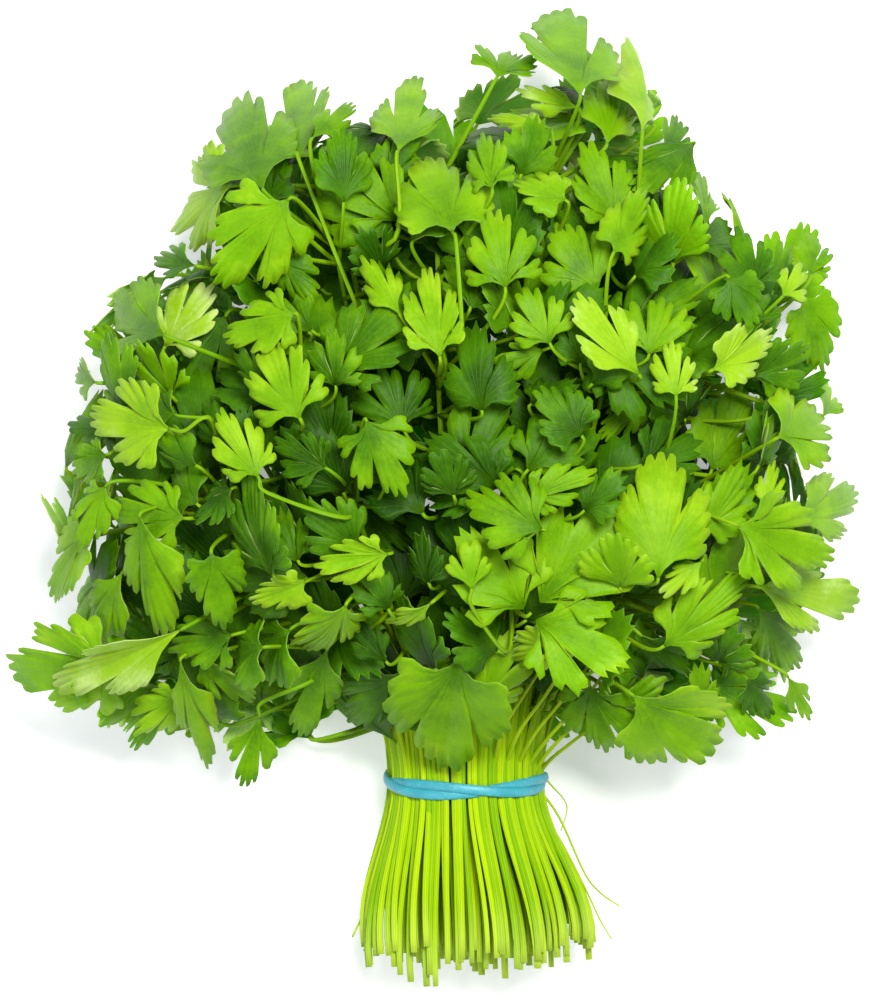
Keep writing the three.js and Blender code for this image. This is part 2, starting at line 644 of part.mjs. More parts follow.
// The two corners of a stalk's strip at a point along it, and the way its thickness goes.
function stalkSection(leaf, t) {
  const at = onStalk(leaf, t);
  const direction = onStalk(leaf, t + 0.1).sub(at).normalize();
  const side = along(leaf.across, direction, -leaf.across.dot(direction)).normalize();
  const thick = side.clone().cross(direction);
  return [1, -1].map((sign) => ({ at: along(at, side, sign * STALK_HALF_WIDTH), thick }));
}

// A leaf as one thin plate: the strip of its stalk and the fan of its blade.
function leafSolid(leaf) {
  const { centre, ring } = bladeFan(leaf);
  const blade = [...ring, centre].map((at) => ({ at, thick: leaf.normal }));
  const last = ring.length - 1;
  const corners = [...blade, ...stalkSection(leaf, 0.5), ...stalkSection(leaf, 0)];
  const [middle, bend, root] = [last + 1, last + 2, last + 4];
  const faces = [];
  for (let i = 0; i < last; i++) faces.push([middle, i, i + 1]);
  faces.push([middle, last, 0]);
  faces.push([0, last, bend], [last, bend + 1, bend]);
  faces.push([bend, bend + 1, root], [bend + 1, root + 1, root]);
  const edge = [...ring.keys(), bend + 1, root + 1, root, bend];
  const top = corners.map(({ at, thick }) => along(at, thick, BLADE_THICKNESS / 2));
  const bottom = corners.map(({ at, thick }) => along(at, thick, -BLADE_THICKNESS / 2));
  const count = corners.length;
  const index = faces.flatMap(([a, b, c]) => [a, b, c, count + a, count + c, count + b]);
  edge.forEach((a, i) => {
    const b = edge[(i + 1) % edge.length];
    index.push(a, count + a, count + b, a, count + b, b);
  });
  const geometry = new THREE.BufferGeometry().setFromPoints([...top, ...bottom]).setIndex(index);
  return clearSolidOf(geometry);
}

function geometryOf(solid) {
  const mesh = solid.getMesh();
  return new THREE.BufferGeometry()
    .setAttribute('position', new THREE.BufferAttribute(mesh.vertProperties, 3))
    .setIndex(new THREE.BufferAttribute(mesh.triVerts, 1))
    .toNonIndexed();
}

function sprigSolid(sprig) {
  const pieces = [...sprig.stems.map(stemSolid), ...sprig.leaves.map(leafSolid)];
  const whole = pieces.reduce((sum, piece) => sum.add(piece));
  // Crossing stalks can seal a small hollow between them. Only the outer skin is kept.
  return whole.decompose().reduce((outer, skin) => (skin.volume() > outer.volume() ? skin : outer));
}

// One turn of the band: a lathed ring that sways along the bunch as it goes round.
function bandStrand(direction) {
  const half = BAND.wide / 2;
  const profile = [
    [BAND.inner, -half],
    [BAND.inner + BAND.thick, -half],
    [BAND.inner + BAND.thick, half],
    [BAND.inner, half],
    [BAND.inner, -half],
  ].map(([radius, y]) => new THREE.Vector2(radius, y));
  const geometry = new THREE.LatheGeometry(profile, BAND.segments);
  const position = geometry.getAttribute('position');
  for (let i = 0; i < position.count; i++) {
    const angle = Math.atan2(position.getZ(i), position.getX(i));
    const sway = direction * BAND_SWAY.amount * Math.sin(2 * angle + BAND_SWAY.turn);
    position.setY(i, position.getY(i) + sway - BAND_SWAY.slant * Math.sin(angle));
    position.setZ(i, position.getZ(i) * BAND.oval + NECK_HEIGHT);
  }
  return clearSolidOf(geometry);
}

const leafGreen = new THREE.MeshStandardMaterial({ color: 0x5a9a12, roughness: 0.55, metalness: 0 });
const bandBlue = new THREE.MeshStandardMaterial({ color: 0x2f9fb5, roughness: 0.45, metalness: 0 });

function makeBunch() {
  const sprigs = makeSprigs();
  sprigs.forEach(({ stems }, index) => {
    for (const { nodes } of stems) take(chainPoints(nodes, STEM_ROOM, index));
  });
  for (const leaf of RESTING_LEAVES) growRestingLeaf(leaf, sprigs);
  const outermostFirst = [...SHOWN_LEAVES].sort((a, b) => a.depth - b.depth);
  for (const leaf of outermostFirst) growShownLeaf(leaf, sprigs);
  let filled = 0;
  for (let i = 0; i < FILL_ATTEMPTS && filled < MOST_FILL_LEAVES; i++) {
    if (growFillLeaf(sprigs)) filled++;
  }

  const bunch = new THREE.Group();
  sprigs.forEach((sprig, index) => {
    const mesh = new THREE.Mesh(geometryOf(sprigSolid(sprig)), leafGreen);
    mesh.name = `sprig_${String(index + 1).padStart(2, '0')}`;
    bunch.add(mesh);
  });
  const band = new THREE.Mesh(geometryOf(bandStrand(1).add(bandStrand(-1))), bandBlue);
  band.name = 'rubber_band';
  bunch.add(band);

  // The origin is the middle of the bunch's footprint on the surface.
  const box = new THREE.Box3().setFromObject(bunch);
  bunch.position.set(-(box.min.x + box.max.x) / 2, -(box.min.y + box.max.y) / 2, -box.min.z);
  return bunch;
}

export default makeBunch();
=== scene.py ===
"""Looks for a bunch of fresh coriander that lies on its back.

Each sprig of the frame is replaced by a finer one in the same place: thin round stems, tapered
stalks and thin, toothed, veined leaflets. More leaves of the same kind fill the head. Lengths are
in millimetres in the bunch's own measure, where the middle of the rubber band is X 0, Y 0, and
become metres in the frame's measure when a mesh is made.
"""

import math

import bpy
import numpy as np
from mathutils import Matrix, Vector


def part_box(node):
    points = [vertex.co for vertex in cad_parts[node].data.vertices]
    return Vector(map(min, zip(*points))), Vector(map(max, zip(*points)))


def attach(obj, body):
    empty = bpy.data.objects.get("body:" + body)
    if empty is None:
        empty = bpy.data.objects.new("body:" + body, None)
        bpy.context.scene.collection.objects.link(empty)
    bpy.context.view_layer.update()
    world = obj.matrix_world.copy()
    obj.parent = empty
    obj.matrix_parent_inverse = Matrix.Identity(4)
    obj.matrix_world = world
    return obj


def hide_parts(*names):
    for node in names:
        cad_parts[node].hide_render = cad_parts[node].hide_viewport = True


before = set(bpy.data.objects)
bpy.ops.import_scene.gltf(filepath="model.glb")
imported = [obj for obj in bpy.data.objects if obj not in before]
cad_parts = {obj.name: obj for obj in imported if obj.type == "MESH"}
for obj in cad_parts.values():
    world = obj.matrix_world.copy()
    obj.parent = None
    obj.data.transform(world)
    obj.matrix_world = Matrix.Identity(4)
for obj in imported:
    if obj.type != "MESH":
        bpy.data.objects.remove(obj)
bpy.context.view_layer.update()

METRE = 0.001
IMAGE = (877, 1000)

# Scale and place of the photograph: the pixel at the middle of the rubber band is X 0, Y 0.
MM_PER_PIXEL = 0.29
BAND_PIXEL = (466, 780)

# The head of leaves, as in the frame's source. The outline is in pixels from the head's centre at
# each angle in degrees, anticlockwise from the right.
HEAD_CENTRE = np.array([-7.5, 110.0, 50.0])
HEAD_HEIGHT = 60.0
HEAD_OUTLINE = [
    (0, 390), (23, 412), (42, 350), (57, 405), (73, 410), (90, 290), (113, 350), (128, 367),
    (146, 331), (163, 350), (180, 365), (203, 425), (214, 500), (237, 430), (258, 347), (270, 355),
    (295, 380), (303, 437), (319, 470), (331, 452), (345, 436), (360, 390),
]
HEAD_HALF = np.array([120.0, 112.0, 60.0])
NECK_TAPER = (-12.0, 76.0)

# The stems, gathered in rings at the band.
RINGS = [
    dict(count=1, tilts=[0], depth=0.6, drop=0.9),
    dict(count=6, tilts=[27], depth=0.66, drop=0.9),
    dict(count=12, tilts=[50, 57], depth=0.66, drop=1),
    dict(count=18, tilts=[82, 110], depth=0.64, drop=1.35),
]
RING_PITCH = (6.3, 5.5)
NECK_HEIGHT = 21.6
CUT_LENGTH = 50.0
CUT_HEIGHT = 22.6
CUT_SPREAD = (1.62, 1.22)
CUT_SHIFT = 4.0
SKIRT_SHARE = 2 / 7
STEM_GAP = dict(neck=0.9, cut=1.8, crown=1.6)
CROWN_TURN = 1.05
CROWN_RISE = 0.9
LOWEST_STEM = 5.0
CROWN_BEND = (0.3, 0.36)
LONG_STEM = dict(steps=7, end=1.0)
SHORT_STEM = dict(steps=5, end=0.62)

# The leaves that the frame holds.
BLADE_THICKNESS = 0.7
STALK_HALF_WIDTH = 0.65
STALK_BEND = 0.45
FLOOR_GAP = 0.35
SINGLE_LOBES = [(-56, 15, 0.86, 2), (0, 21, 1, 2), (56, 15, 0.86, 2)]
SMALL_LOBES = [(-60, 0, 0.82, 1), (0, 26, 1, 3), (60, 0, 0.82, 1)]
TRIPLE_LOBES = [(-82, 21, 0.82, 3), (0, 19, 1, 3), (82, 21, 0.82, 3)]
NOTCH_BETWEEN_TEETH = 0.84
NOTCH_BETWEEN_LOBES = 0.56
NOTCH_BETWEEN_LEAFLETS = 0.2
SMALL_LEAF = 22.0
TRIPLE_FROM = 33
TRIPLE_WIDTH = 1.45
BLADE_ROOM = 1.75
STALK_ROOM = 1.2
STEM_ROOM = 2.1
SAMPLE_STEP = 2.4
CHAIN_STEP = 2.0
ROOT_ROOM = 6.0
ROOT_STEPS = 3.2
STALK_LENGTH = (7.0, 78.0)
MOST_ROOTS_TRIED = 12
FILL_DEPTHS = [0.95, 0.9, 0.84, 0.77, 0.7, 0.62]
FILL_ATTEMPTS = 900
MOST_FILL_LEAVES = 40
HEIGHT_TRIES = [0, -2.5, 2.5, -5, 5, -7.5, 7.5, -10, -12.5, -15, -18, -21, -24, -28, -32, -37, -42]
LOWEST_BLADE = FLOOR_GAP + BLADE_THICKNESS / 2

# The leaves that show in the photograph: the pixels where the blade starts and ends, its width in
# pixels, how far below the head's surface it lies, and its tone, from 0 dark to 1 pale.
SHOWN_LEAVES = [
    # the crest and the top of the head
    ((575, 112), (560, 8), 98, 0, 0.6),
    ((635, 145), (652, 50), 44, 1, 0.8),
    ((602, 155), (618, 80), 58, 6, 0.6),
    ((575, 118), (514, 95), 34, 8, 0.9),
    ((690, 150), (640, 188), 60, 8, 0.25),
    ((662, 158), (682, 118), 40, 12, 0.2),
    ((695, 240), (700, 162), 32, 2, 0.55),
    ((610, 235), (585, 150), 74, 3, 0.4),
    ((605, 265), (642, 200), 52, 0, 0.5),
    ((628, 268), (688, 236), 56, 6, 0.5),
    ((545, 142), (482, 118), 28, 10, 0.9),
    ((490, 205), (478, 145), 48, 3, 0.55),
    ((452, 246), (428, 160), 96, 0, 0.6),
    ((400, 166), (416, 85), 64, 2, 0.5),
    ((316, 152), (355, 110), 30, 8, 0.5),
    ((305, 168), (297, 76), 64, 4, 0.5),
    ((270, 202), (236, 98), 96, 1, 0.5),
    ((236, 195), (164, 216), 98, 7, 0.85),
    ((296, 212), (222, 296), 98, 0, 0.55),
    ((205, 274), (154, 262), 38, 8, 0.2),
    # the left side
    ((176, 342), (106, 306), 82, 2, 0.5),
    ((172, 352), (216, 290), 66, 7, 0.9),
    ((232, 320), (194, 396), 64, 9, 0.2),
    ((302, 322), (232, 348), 62, 1, 0.55),
    ((286, 268), (320, 308), 46, 8, 0.4),
    ((106, 386), (75, 372), 44, 5, 0.5),
    ((182, 432), (102, 420), 82, 0, 0.75),
    ((122, 432), (75, 425), 36, 12, 0.2),
    ((268, 479), (228, 413), 56, 0, 0.75),
    ((246, 448), (174, 490), 60, 9, 0.25),
    ((118, 456), (78, 472), 40, 7, 0.45),
    ((118, 486), (84, 544), 48, 3, 0.6),
    ((100, 528), (56, 584), 62, 7, 0.5),
    ((152, 515), (164, 640), 78, 0, 0.6),
    ((132, 570), (90, 642), 58, 6, 0.5),
    # the lower left corner
    ((126, 662), (17, 672), 94, 6, 0.55),
    ((192, 624), (64, 690), 56, 0, 1.0),
    ((192, 688), (140, 730), 48, 8, 0.6),
    ((188, 655), (206, 764), 40, 3, 0.5),
    ((263, 712), (247, 778), 46, 6, 0.5),
    ((204, 648), (256, 704), 50, 9, 0.4),
    ((222, 550), (236, 626), 60, 3, 0.4),
    ((312, 578), (258, 602), 46, 7, 0.7),
    ((350, 600), (320, 668), 70, 2, 0.55),
    ((330, 645), (300, 730), 52, 8, 0.45),
    # the leaves over the neck
    ((458, 652), (440, 766), 120, 0, 0.55),
    ((402, 668), (350, 726), 62, 7, 0.25),
    ((556, 632), (510, 664), 58, 0, 0.85),
    ((470, 586), (468, 540), 48, 0, 0.75),
    ((432, 598), (384, 634), 30, 2, 0.75),
    ((392, 551), (319, 562), 48, 0, 0.8),
    # the middle of the head
    ((370, 424), (402, 500), 74, 1, 0.65),
    ((332, 470), (281, 440), 58, 8, 0.3),
    ((405, 432), (384, 370), 86, 13, 0.25),
    ((356, 500), (420, 548), 46, 9, 0.3),
    ((402, 324), (364, 264), 38, 2, 0.6),
    ((440, 366), (426, 276), 60, 1, 0.6),
    ((502, 300), (490, 222), 74, 3, 0.45),
    ((592, 300), (552, 234), 84, 1, 0.45),
    ((545, 352), (520, 296), 62, 5, 0.5),
    ((540, 356), (497, 374), 44, 8, 0.4),
    ((630, 382), (566, 306), 62, 0, 0.9),
    ((665, 402), (661, 348), 46, 0, 0.85),
    ((640, 362), (652, 304), 72, 6, 0.5),
    ((538, 528), (462, 500), 84, 0, 0.6),
    ((524, 498), (590, 472), 46, 3, 0.6),
    ((528, 504), (520, 562), 56, 6, 0.45),
    ((642, 394), (598, 442), 44, 4, 0.5),
    ((576, 440), (532, 394), 62, 7, 0.3),
    ((648, 576), (656, 454), 98, 0, 0.65),
    ((692, 558), (654, 590), 30, 3, 0.8),
    ((652, 574), (614, 610), 46, 8, 0.5),
    # the right side
    ((745, 296), (728, 232), 58, 4, 0.2),
    ((766, 296), (780, 250), 48, 8, 0.2),
    ((801, 282), (809, 237), 38, 3, 0.5),
    ((770, 304), (796, 276), 38, 1, 0.85),
    ((794, 300), (822, 368), 60, 4, 0.55),
    ((716, 286), (744, 334), 62, 5, 0.35),
    ((700, 376), (764, 340), 60, 1, 0.8),
    ((765, 440), (824, 414), 84, 2, 0.55),
    ((706, 472), (738, 388), 78, 4, 0.45),
    ((814, 420), (832, 380), 30, 9, 0.5),
    ((776, 524), (863, 490), 58, 5, 0.55),
    ((752, 512), (766, 460), 32, 8, 0.9),
    ((724, 524), (819, 560), 86, 0, 0.5),
    ((748, 584), (849, 602), 70, 4, 0.7),
    # the lower right corner
    ((655, 642), (736, 580), 70, 3, 0.45),
    ((750, 604), (802, 668), 60, 8, 0.3),
    ((628, 690), (706, 752), 112, 0, 0.6),
    ((586, 680), (600, 753), 76, 5, 0.45),
    ((740, 674), (770, 714), 40, 9, 0.2),
    ((780, 672), (804, 716), 28, 12, 0.5),
    ((600, 680), (570, 624), 58, 9, 0.3),
]

# Leaves pressed flat on the surface under the head.
RESTING_LEAVES = [
    ((-52, 52), (-84, 34), 30),
    ((40, 56), (72, 44), 30),
    ((-34, 150), (-56, 178), 30),
    ((24, 152), (44, 182), 30),
    ((-10, 92), (-8, 126), 34),
]


def vector(x, y, z):
    return np.array([x, y, z], float)


def length_of(v):
    return math.sqrt(float(v @ v))


def unit(v):
    return v / length_of(v)


# The same seeded sequence as in the frame's source, so that the same leaves grow in the same place.
SEED = [20817]


def draw(low, high):
    SEED[0] = (SEED[0] * 16807) % 2147483647
    return low + ((high - low) * SEED[0]) / 2147483647


def fullness(y):
    t = min(1.0, max(0.0, (y - NECK_TAPER[0]) / NECK_TAPER[1]))
    return t * t * (3 - 2 * t)


def head_reach(x, y):
    angle = math.degrees(math.atan2(y, x)) % 360
    after = next(i for i, (limit, _) in enumerate(HEAD_OUTLINE) if limit > angle)
    (a, near), (b, far) = HEAD_OUTLINE[after - 1], HEAD_OUTLINE[after]
    return (near + (far - near) * (angle - a) / (b - a)) * MM_PER_PIXEL


def head_top(x, y):
    across, lengthwise = x - HEAD_CENTRE[0], y - HEAD_CENTRE[1]
    share = math.hypot(across, lengthwise) / head_reach(across, lengthwise)
    return HEAD_CENTRE[2] + HEAD_HEIGHT * math.sqrt(max(0.0, 1 - share * share)) * fullness(y)


def inside_head(outward, share):
    reach = head_reach(outward[0], outward[1])
    place = HEAD_CENTRE + share * outward * np.array([reach, reach, HEAD_HEIGHT])
    place[2] = HEAD_CENTRE[2] + (place[2] - HEAD_CENTRE[2]) * fullness(place[1])
    return place


def from_pixel(pixel, z):
    across, down = pixel[0] - BAND_PIXEL[0], BAND_PIXEL[1] - pixel[1]
    return vector(across * MM_PER_PIXEL, down * MM_PER_PIXEL, z)


def cubic(controls, t):
    a, b, c, d = controls
    s = 1 - t
    return a * s**3 + b * 3 * s * s * t + c * 3 * s * t * t + d * t**3


def stem_point(skirt, crown, s):
    """The point of a whole stem at s, from its cut end, 0, to its top, 1."""
    if s < SKIRT_SHARE:
        return cubic(skirt, s / SKIRT_SHARE)
    return cubic(crown, (s - SKIRT_SHARE) / (1 - SKIRT_SHARE))


def junction_of(ring, index, angle):
    tilt = math.radians(ring["tilts"][index % len(ring["tilts"])])
    sideways = math.sin(tilt) * ring["depth"]
    rise = math.sin(angle) * (ring["drop"] if math.sin(angle) < 0 else CROWN_RISE)
    return vector(
        HEAD_CENTRE[0] + HEAD_HALF[0] * sideways * math.cos(angle),
        HEAD_CENTRE[1] + HEAD_HALF[1] * ring["depth"] * math.cos(tilt),
        max(LOWEST_STEM, HEAD_CENTRE[2] + HEAD_HALF[2] * sideways * rise),
    )


def stem_controls(slot, junction, shift, cut_back):
    """The controls of a stem's skirt and crown. The shift moves its neck, cut end and top."""
    neck = vector(slot[0], 0, NECK_HEIGHT + slot[1]) + shift["neck"]
    cut = vector(
        slot[0] * CUT_SPREAD[0] + CUT_SHIFT,
        -CUT_LENGTH + cut_back - slot[1] * 0.14,
        CUT_HEIGHT + slot[1] * CUT_SPREAD[1],
    ) + shift["cut"]
    top = junction + shift["crown"]
    reach = length_of(top - neck)
    skirt = [
        cut,
        vector(cut[0] * 0.9 + neck[0] * 0.1, cut[1] * 0.62, cut[2] * 0.75 + neck[2] * 0.25),
        neck - vector(0, CUT_LENGTH * 0.32, 0),
        neck,
    ]
    bend = top + (neck - top) * CROWN_BEND[0]
    bend[1] = top[1] - reach * CROWN_BEND[1]
    return skirt, [neck, neck + vector(0, reach * 0.34, 0), bend, top]


def stem_curve(slot, angle, gaps, junction, cut_back):
    """The controls of a stem that runs beside its sprig's middle, at the gaps to one side of it."""

    def offset(gap, turn):
        return vector(-math.sin(turn) * gap, 0, math.cos(turn) * gap)

    shift = {
        "neck": offset(gaps["neck"], angle),
        "cut": offset(gaps["cut"], angle),
        "crown": offset(gaps["crown"], angle + CROWN_TURN),
    }
    return stem_controls(slot, junction, shift, cut_back)


def make_sprigs():
    sprigs = []
    for level, ring in enumerate(RINGS):
        for index in range(ring["count"]):
            angle = ((index + 0.5 * (level % 2)) / ring["count"]) * 2 * math.pi
            slot = (level * RING_PITCH[0] * math.cos(angle), level * RING_PITCH[1] * math.sin(angle))
            junction = junction_of(ring, index, angle)
            sprig = dict(angle=angle, slot=slot, junction=junction, cut_back=[], stems=[], leaves=[])
            for side, form in ((1, LONG_STEM), (-1, SHORT_STEM)):
                cut_back = draw(-4, 4)
                gaps = {place: gap * side for place, gap in STEM_GAP.items()}
                skirt, crown = stem_curve(slot, angle, gaps, junction, cut_back)
                whole = SKIRT_SHARE + (1 - SKIRT_SHARE) * form["end"]
                shares = [whole * i / form["steps"] for i in range(form["steps"] + 1)]
                sprig["cut_back"].append(cut_back)
                sprig["stems"].append(np.array([stem_point(skirt, crown, share) for share in shares]))
            sprigs.append(sprig)
    return sprigs


def blade_edge(leaf):
    """The frame's lobed edge of a blade, as distances across and along."""
    points = []
    for centre, spread, lobe_reach, teeth in leaf["lobes"]:
        for k in range(teeth):
            across = 0 if teeth == 1 else 2 * k / (teeth - 1) - 1
            angle = centre + spread * across
            reach = lobe_reach * (1 - 0.06 * across * across)
            if points:
                before = points[-1]
                triple = leaf["lobes"] is TRIPLE_LOBES
                between = NOTCH_BETWEEN_LEAFLETS if triple else NOTCH_BETWEEN_LOBES
                notch = between if k == 0 else NOTCH_BETWEEN_TEETH
                points.append(((before[0] + angle) / 2, min(before[1], reach) * notch))
            points.append((angle, reach))
    angle, reach = np.radians([p[0] for p in points]), np.array([p[1] for p in points])
    sideways = -np.sin(angle) * reach
    ahead = np.cos(angle) * reach
    return sideways / sideways.max() * leaf["width"] / 2, ahead / ahead.max() * leaf["length"]


def on_blade(leaf, u, v, extra=0.0):
    """Points of a leaf's arched blade, one for each u across and v along."""
    u, v = np.atleast_1d(u).astype(float), np.atleast_1d(v).astype(float)
    lift = (leaf["cup"] * u * u - leaf["arch"] * v * v + leaf["twist"] * u * v) / leaf["length"] + extra
    points = (
        leaf["base"]
        + u[:, None] * leaf["across"]
        + v[:, None] * leaf["heading"]
        + lift[:, None] * leaf["normal"]
    )
    points[:, 2] = np.maximum(points[:, 2], leaf["lowest"])
    return points


def on_stalk(leaf, t):
    s = 1 - t
    bend = leaf["base"] - leaf["heading"] * leaf.get("bend", STALK_BEND) * leaf["stalk"]
    point = leaf["root"] * s * s + bend * 2 * s * t + leaf["base"] * t * t
    point[2] = max(point[2], leaf["lowest"])
    return point


def chain_points(corners):
    points = []
    for a, b in zip(corners[:-1], corners[1:]):
        count = math.ceil(length_of(b - a) / CHAIN_STEP)
        points.append(a + (b - a) * (np.arange(count + 1) / count)[:, None])
    return np.vstack(points)


def blade_points(leaf):
    w = STALK_HALF_WIDTH
    u, v = blade_edge(leaf)
    u = np.concatenate([[w], u, [-w]])
    v = np.concatenate([[-w / 2], v, [-w / 2]])
    ring = on_blade(leaf, u, v)
    centre = on_blade(leaf, 0, 0)[0]
    points = []
    for a, b in zip(ring[:-1], ring[1:]):
        longest = max(length_of(centre - a), length_of(centre - b), length_of(a - b))
        count = math.ceil(longest / SAMPLE_STEP)
        for j in range(1, count + 1):
            start, end = centre + (a - centre) * j / count, centre + (b - centre) * j / count
            steps = max(1, math.ceil(length_of(end - start) / SAMPLE_STEP))
            points.append(start + (end - start) * (np.arange(steps + 1) / steps)[:, None])
    return np.vstack(points)


class Room:
    """The room that is taken, as points with a radius in a grid of cubes. A point of a stem or stalk
    names its sprig, whose own leaves may touch it near their root."""

    CELL = 2 * STEM_ROOM
    AROUND = [(a, b, c) for a in (-1, 0, 1) for b in (-1, 0, 1) for c in (-1, 0, 1)]

    def __init__(self):
        self.cells = {}

    def take(self, points, radius, sprig=-1):
        for cell, point in zip(np.floor(points / self.CELL).astype(int).tolist(), points.tolist()):
            self.cells.setdefault(tuple(cell), []).append((*point, radius, sprig))

    def is_free(self, points, radius, root=None):
        cells = np.floor(points / self.CELL).astype(int).tolist()
        points = points.tolist()
        get = self.cells.get
        rx, ry, rz = root["at"].tolist() if root else (0, 0, 0)
        for start in range(7):
            for (i, j, k), (x, y, z) in zip(cells[start::7], points[start::7]):
                for a, b, c in self.AROUND:
                    for ox, oy, oz, other, sprig in get((i + a, j + b, k + c), ()):
                        if (ox - x) ** 2 + (oy - y) ** 2 + (oz - z) ** 2 >= (other + radius) ** 2:
                            continue
                        if root and sprig == root["sprig"]:
                            if (ox - rx) ** 2 + (oy - ry) ** 2 + (oz - rz) ** 2 < ROOT_ROOM**2:
                                continue
                        return False
        return True


room = Room()


def make_leaf(base, tip, width, roll, lobes, lowest):
    heading = tip - base
    length = length_of(heading)
    heading = heading / length
    across = unit(np.cross(heading, vector(0, 0, 1)))
    normal = np.cross(across, heading)
    rolled = across * math.cos(roll) + normal * math.sin(roll)
    return dict(
        base=base,
        heading=heading,
        across=rolled,
        normal=np.cross(rolled, heading),
        length=length,
        width=width,
        lobes=lobes,
        lowest=lowest,
        arch=draw(0.02, 0.12),
        cup=draw(-0.25, 0.2),
        twist=draw(-0.12, 0.12),
    )


def roots_for(leaf, sprigs, spread=4):
    """The points of the stems that a leaf could grow from, the best first."""
    found = []
    for index, sprig in enumerate(sprigs):
        for side, nodes in enumerate(sprig["stems"]):
            steps = len(nodes) - 1
            place = steps - 0.15
            while place > steps - ROOT_STEPS:
                step = math.floor(place)
                direction = unit(nodes[step + 1] - nodes[step])
                at = nodes[step] + (nodes[step + 1] - nodes[step]) * (place - step)
                share = place / steps
                place -= 0.4
                stalk = leaf["base"] - at
                length = length_of(stalk)
                if not STALK_LENGTH[0] <= length <= STALK_LENGTH[1]:
                    continue
                stalk = stalk / length
                forward = float(stalk @ direction)
                sideways = abs(float(stalk @ leaf["across"]))
                if sideways > 0.8 or float(stalk @ leaf["heading"]) < -0.5 or forward < -0.2:
                    continue
                cost = length * (1.5 - forward * 0.5) + spread * len(sprig["leaves"])
                found.append(dict(sprig=index, side=side, share=share, at=at, cost=cost))
    return sorted(found, key=lambda root: root["cost"])[:MOST_ROOTS_TRIED]


def grow(leaf, sprigs):
    """Gives the leaf to a sprig if its blade and its stalk are clear of everything else."""
    blade = blade_points(leaf)
    if not room.is_free(blade, BLADE_ROOM):
        return False
    for root in roots_for(leaf, sprigs):
        leaf["root"] = root["at"]
        leaf["place"] = root
        leaf["stalk"] = length_of(root["at"] - leaf["base"])
        stalk = chain_points([leaf["root"], on_stalk(leaf, 0.5), leaf["base"]])
        if not room.is_free(stalk, STALK_ROOM, root):
            continue
        room.take(blade, BLADE_ROOM)
        room.take(stalk, STALK_ROOM, root["sprig"])
        sprigs[root["sprig"]]["leaves"].append(leaf)
        return True
    return False


def grow_shown_leaf(shown, sprigs):
    start, end, width, depth, tone = shown
    middle = from_pixel(((start[0] + end[0]) / 2, (start[1] + end[1]) / 2), 0)
    side = unit(vector(start[1] - end[1], start[0] - end[0], 0))
    left, right = middle - side * 12, middle + side * 12
    slope = head_top(right[0], right[1]) - head_top(left[0], left[1])
    roll = 0.6 * math.atan2(slope, 24) + draw(-0.3, 0.3)
    lean = draw(-4, 5)
    for rise in HEIGHT_TRIES:
        base, tip = from_pixel(start, 0), from_pixel(end, 0)
        base[2] = head_top(base[0], base[1]) - depth + rise
        tip[2] = head_top(tip[0], tip[1]) - depth + rise + lean
        steepest = length_of(base - tip) * 0.8
        tip[2] = max(base[2] - steepest, min(base[2] + steepest, tip[2]))
        kept = SEED[0]
        lobes = SMALL_LOBES if length_of(base - tip) < SMALL_LEAF else SINGLE_LOBES
        leaf = make_leaf(base, tip, width * MM_PER_PIXEL, roll, lobes, LOWEST_BLADE)
        leaf.update(tone=0.06 + 0.8 * tone, pixel=start, shown=True)
        if grow(leaf, sprigs):
            return True
        SEED[0] = kept
    return False


def grow_resting_leaf(resting, sprigs):
    start, end, width = resting
    height = BLADE_THICKNESS / 2
    leaf = make_leaf(vector(*start, height), vector(*end, height), width, 0, SINGLE_LOBES, height)
    leaf.update(arch=0, cup=0, twist=0, tone=0.4, resting=True)
    return grow(leaf, sprigs)


def grow_fill_leaf(sprigs):
    turn = draw(0, 2 * math.pi)
    lengthwise = draw(-0.7, 1)
    sideways = math.sqrt(1 - lengthwise * lengthwise)
    outward = vector(sideways * math.cos(turn), lengthwise, sideways * math.sin(turn))
    facing = vector(
        outward[0] / HEAD_HALF[0] + draw(-0.004, 0.004),
        outward[1] / HEAD_HALF[1] + draw(-0.004, 0.004),
        outward[2] / HEAD_HALF[2] + draw(-0.004, 0.004),
    )
    facing = unit(facing)
    size = draw(24, 44)
    lobes = TRIPLE_LOBES if size > TRIPLE_FROM else SINGLE_LOBES
    stray = vector(draw(-0.7, 0.7), draw(-0.7, 0.7), draw(-0.5, 0.5))
    for depth in FILL_DEPTHS:
        middle = inside_head(outward, depth)
        heading = unit(middle - vector(0, 0, NECK_HEIGHT)) + stray
        heading = unit(heading - facing * float(heading @ facing))
        base, tip = middle - heading * size * 0.45, middle + heading * size * 0.55
        base[2] = max(base[2], LOWEST_BLADE + 1)
        tip[2] = max(tip[2], LOWEST_BLADE)
        flat = unit(np.cross(heading, vector(0, 0, 1)))
        roll = math.atan2(-float(flat @ facing), float(np.cross(flat, heading) @ facing))
        kept = SEED[0]
        width = size * (TRIPLE_WIDTH if lobes is TRIPLE_LOBES else 0.95)
        leaf = make_leaf(base, tip, width, roll, lobes, LOWEST_BLADE)
        leaf["tone"] = 0.45
        if grow(leaf, sprigs):
            return True
        SEED[0] = kept
    return False


def plant():
    """The frame's sprigs with the leaves it holds, each in its own place."""
    sprigs = make_sprigs()
    for index, sprig in enumerate(sprigs):
        for nodes in sprig["stems"]:
            room.take(chain_points(nodes), STEM_ROOM, index)
    for resting in RESTING_LEAVES:
        grow_resting_leaf(resting, sprigs)
    for shown in sorted(SHOWN_LEAVES, key=lambda leaf: leaf[3]):
        grow_shown_leaf(shown, sprigs)
    grown = 0
    for _ in range(FILL_ATTEMPTS):
        if grown == MOST_FILL_LEAVES:
            break
        grown += grow_fill_leaf(sprigs)
    return sprigs


# The looks: leaves that fill the head, in the same places in each run.
rng = np.random.default_rng(71)

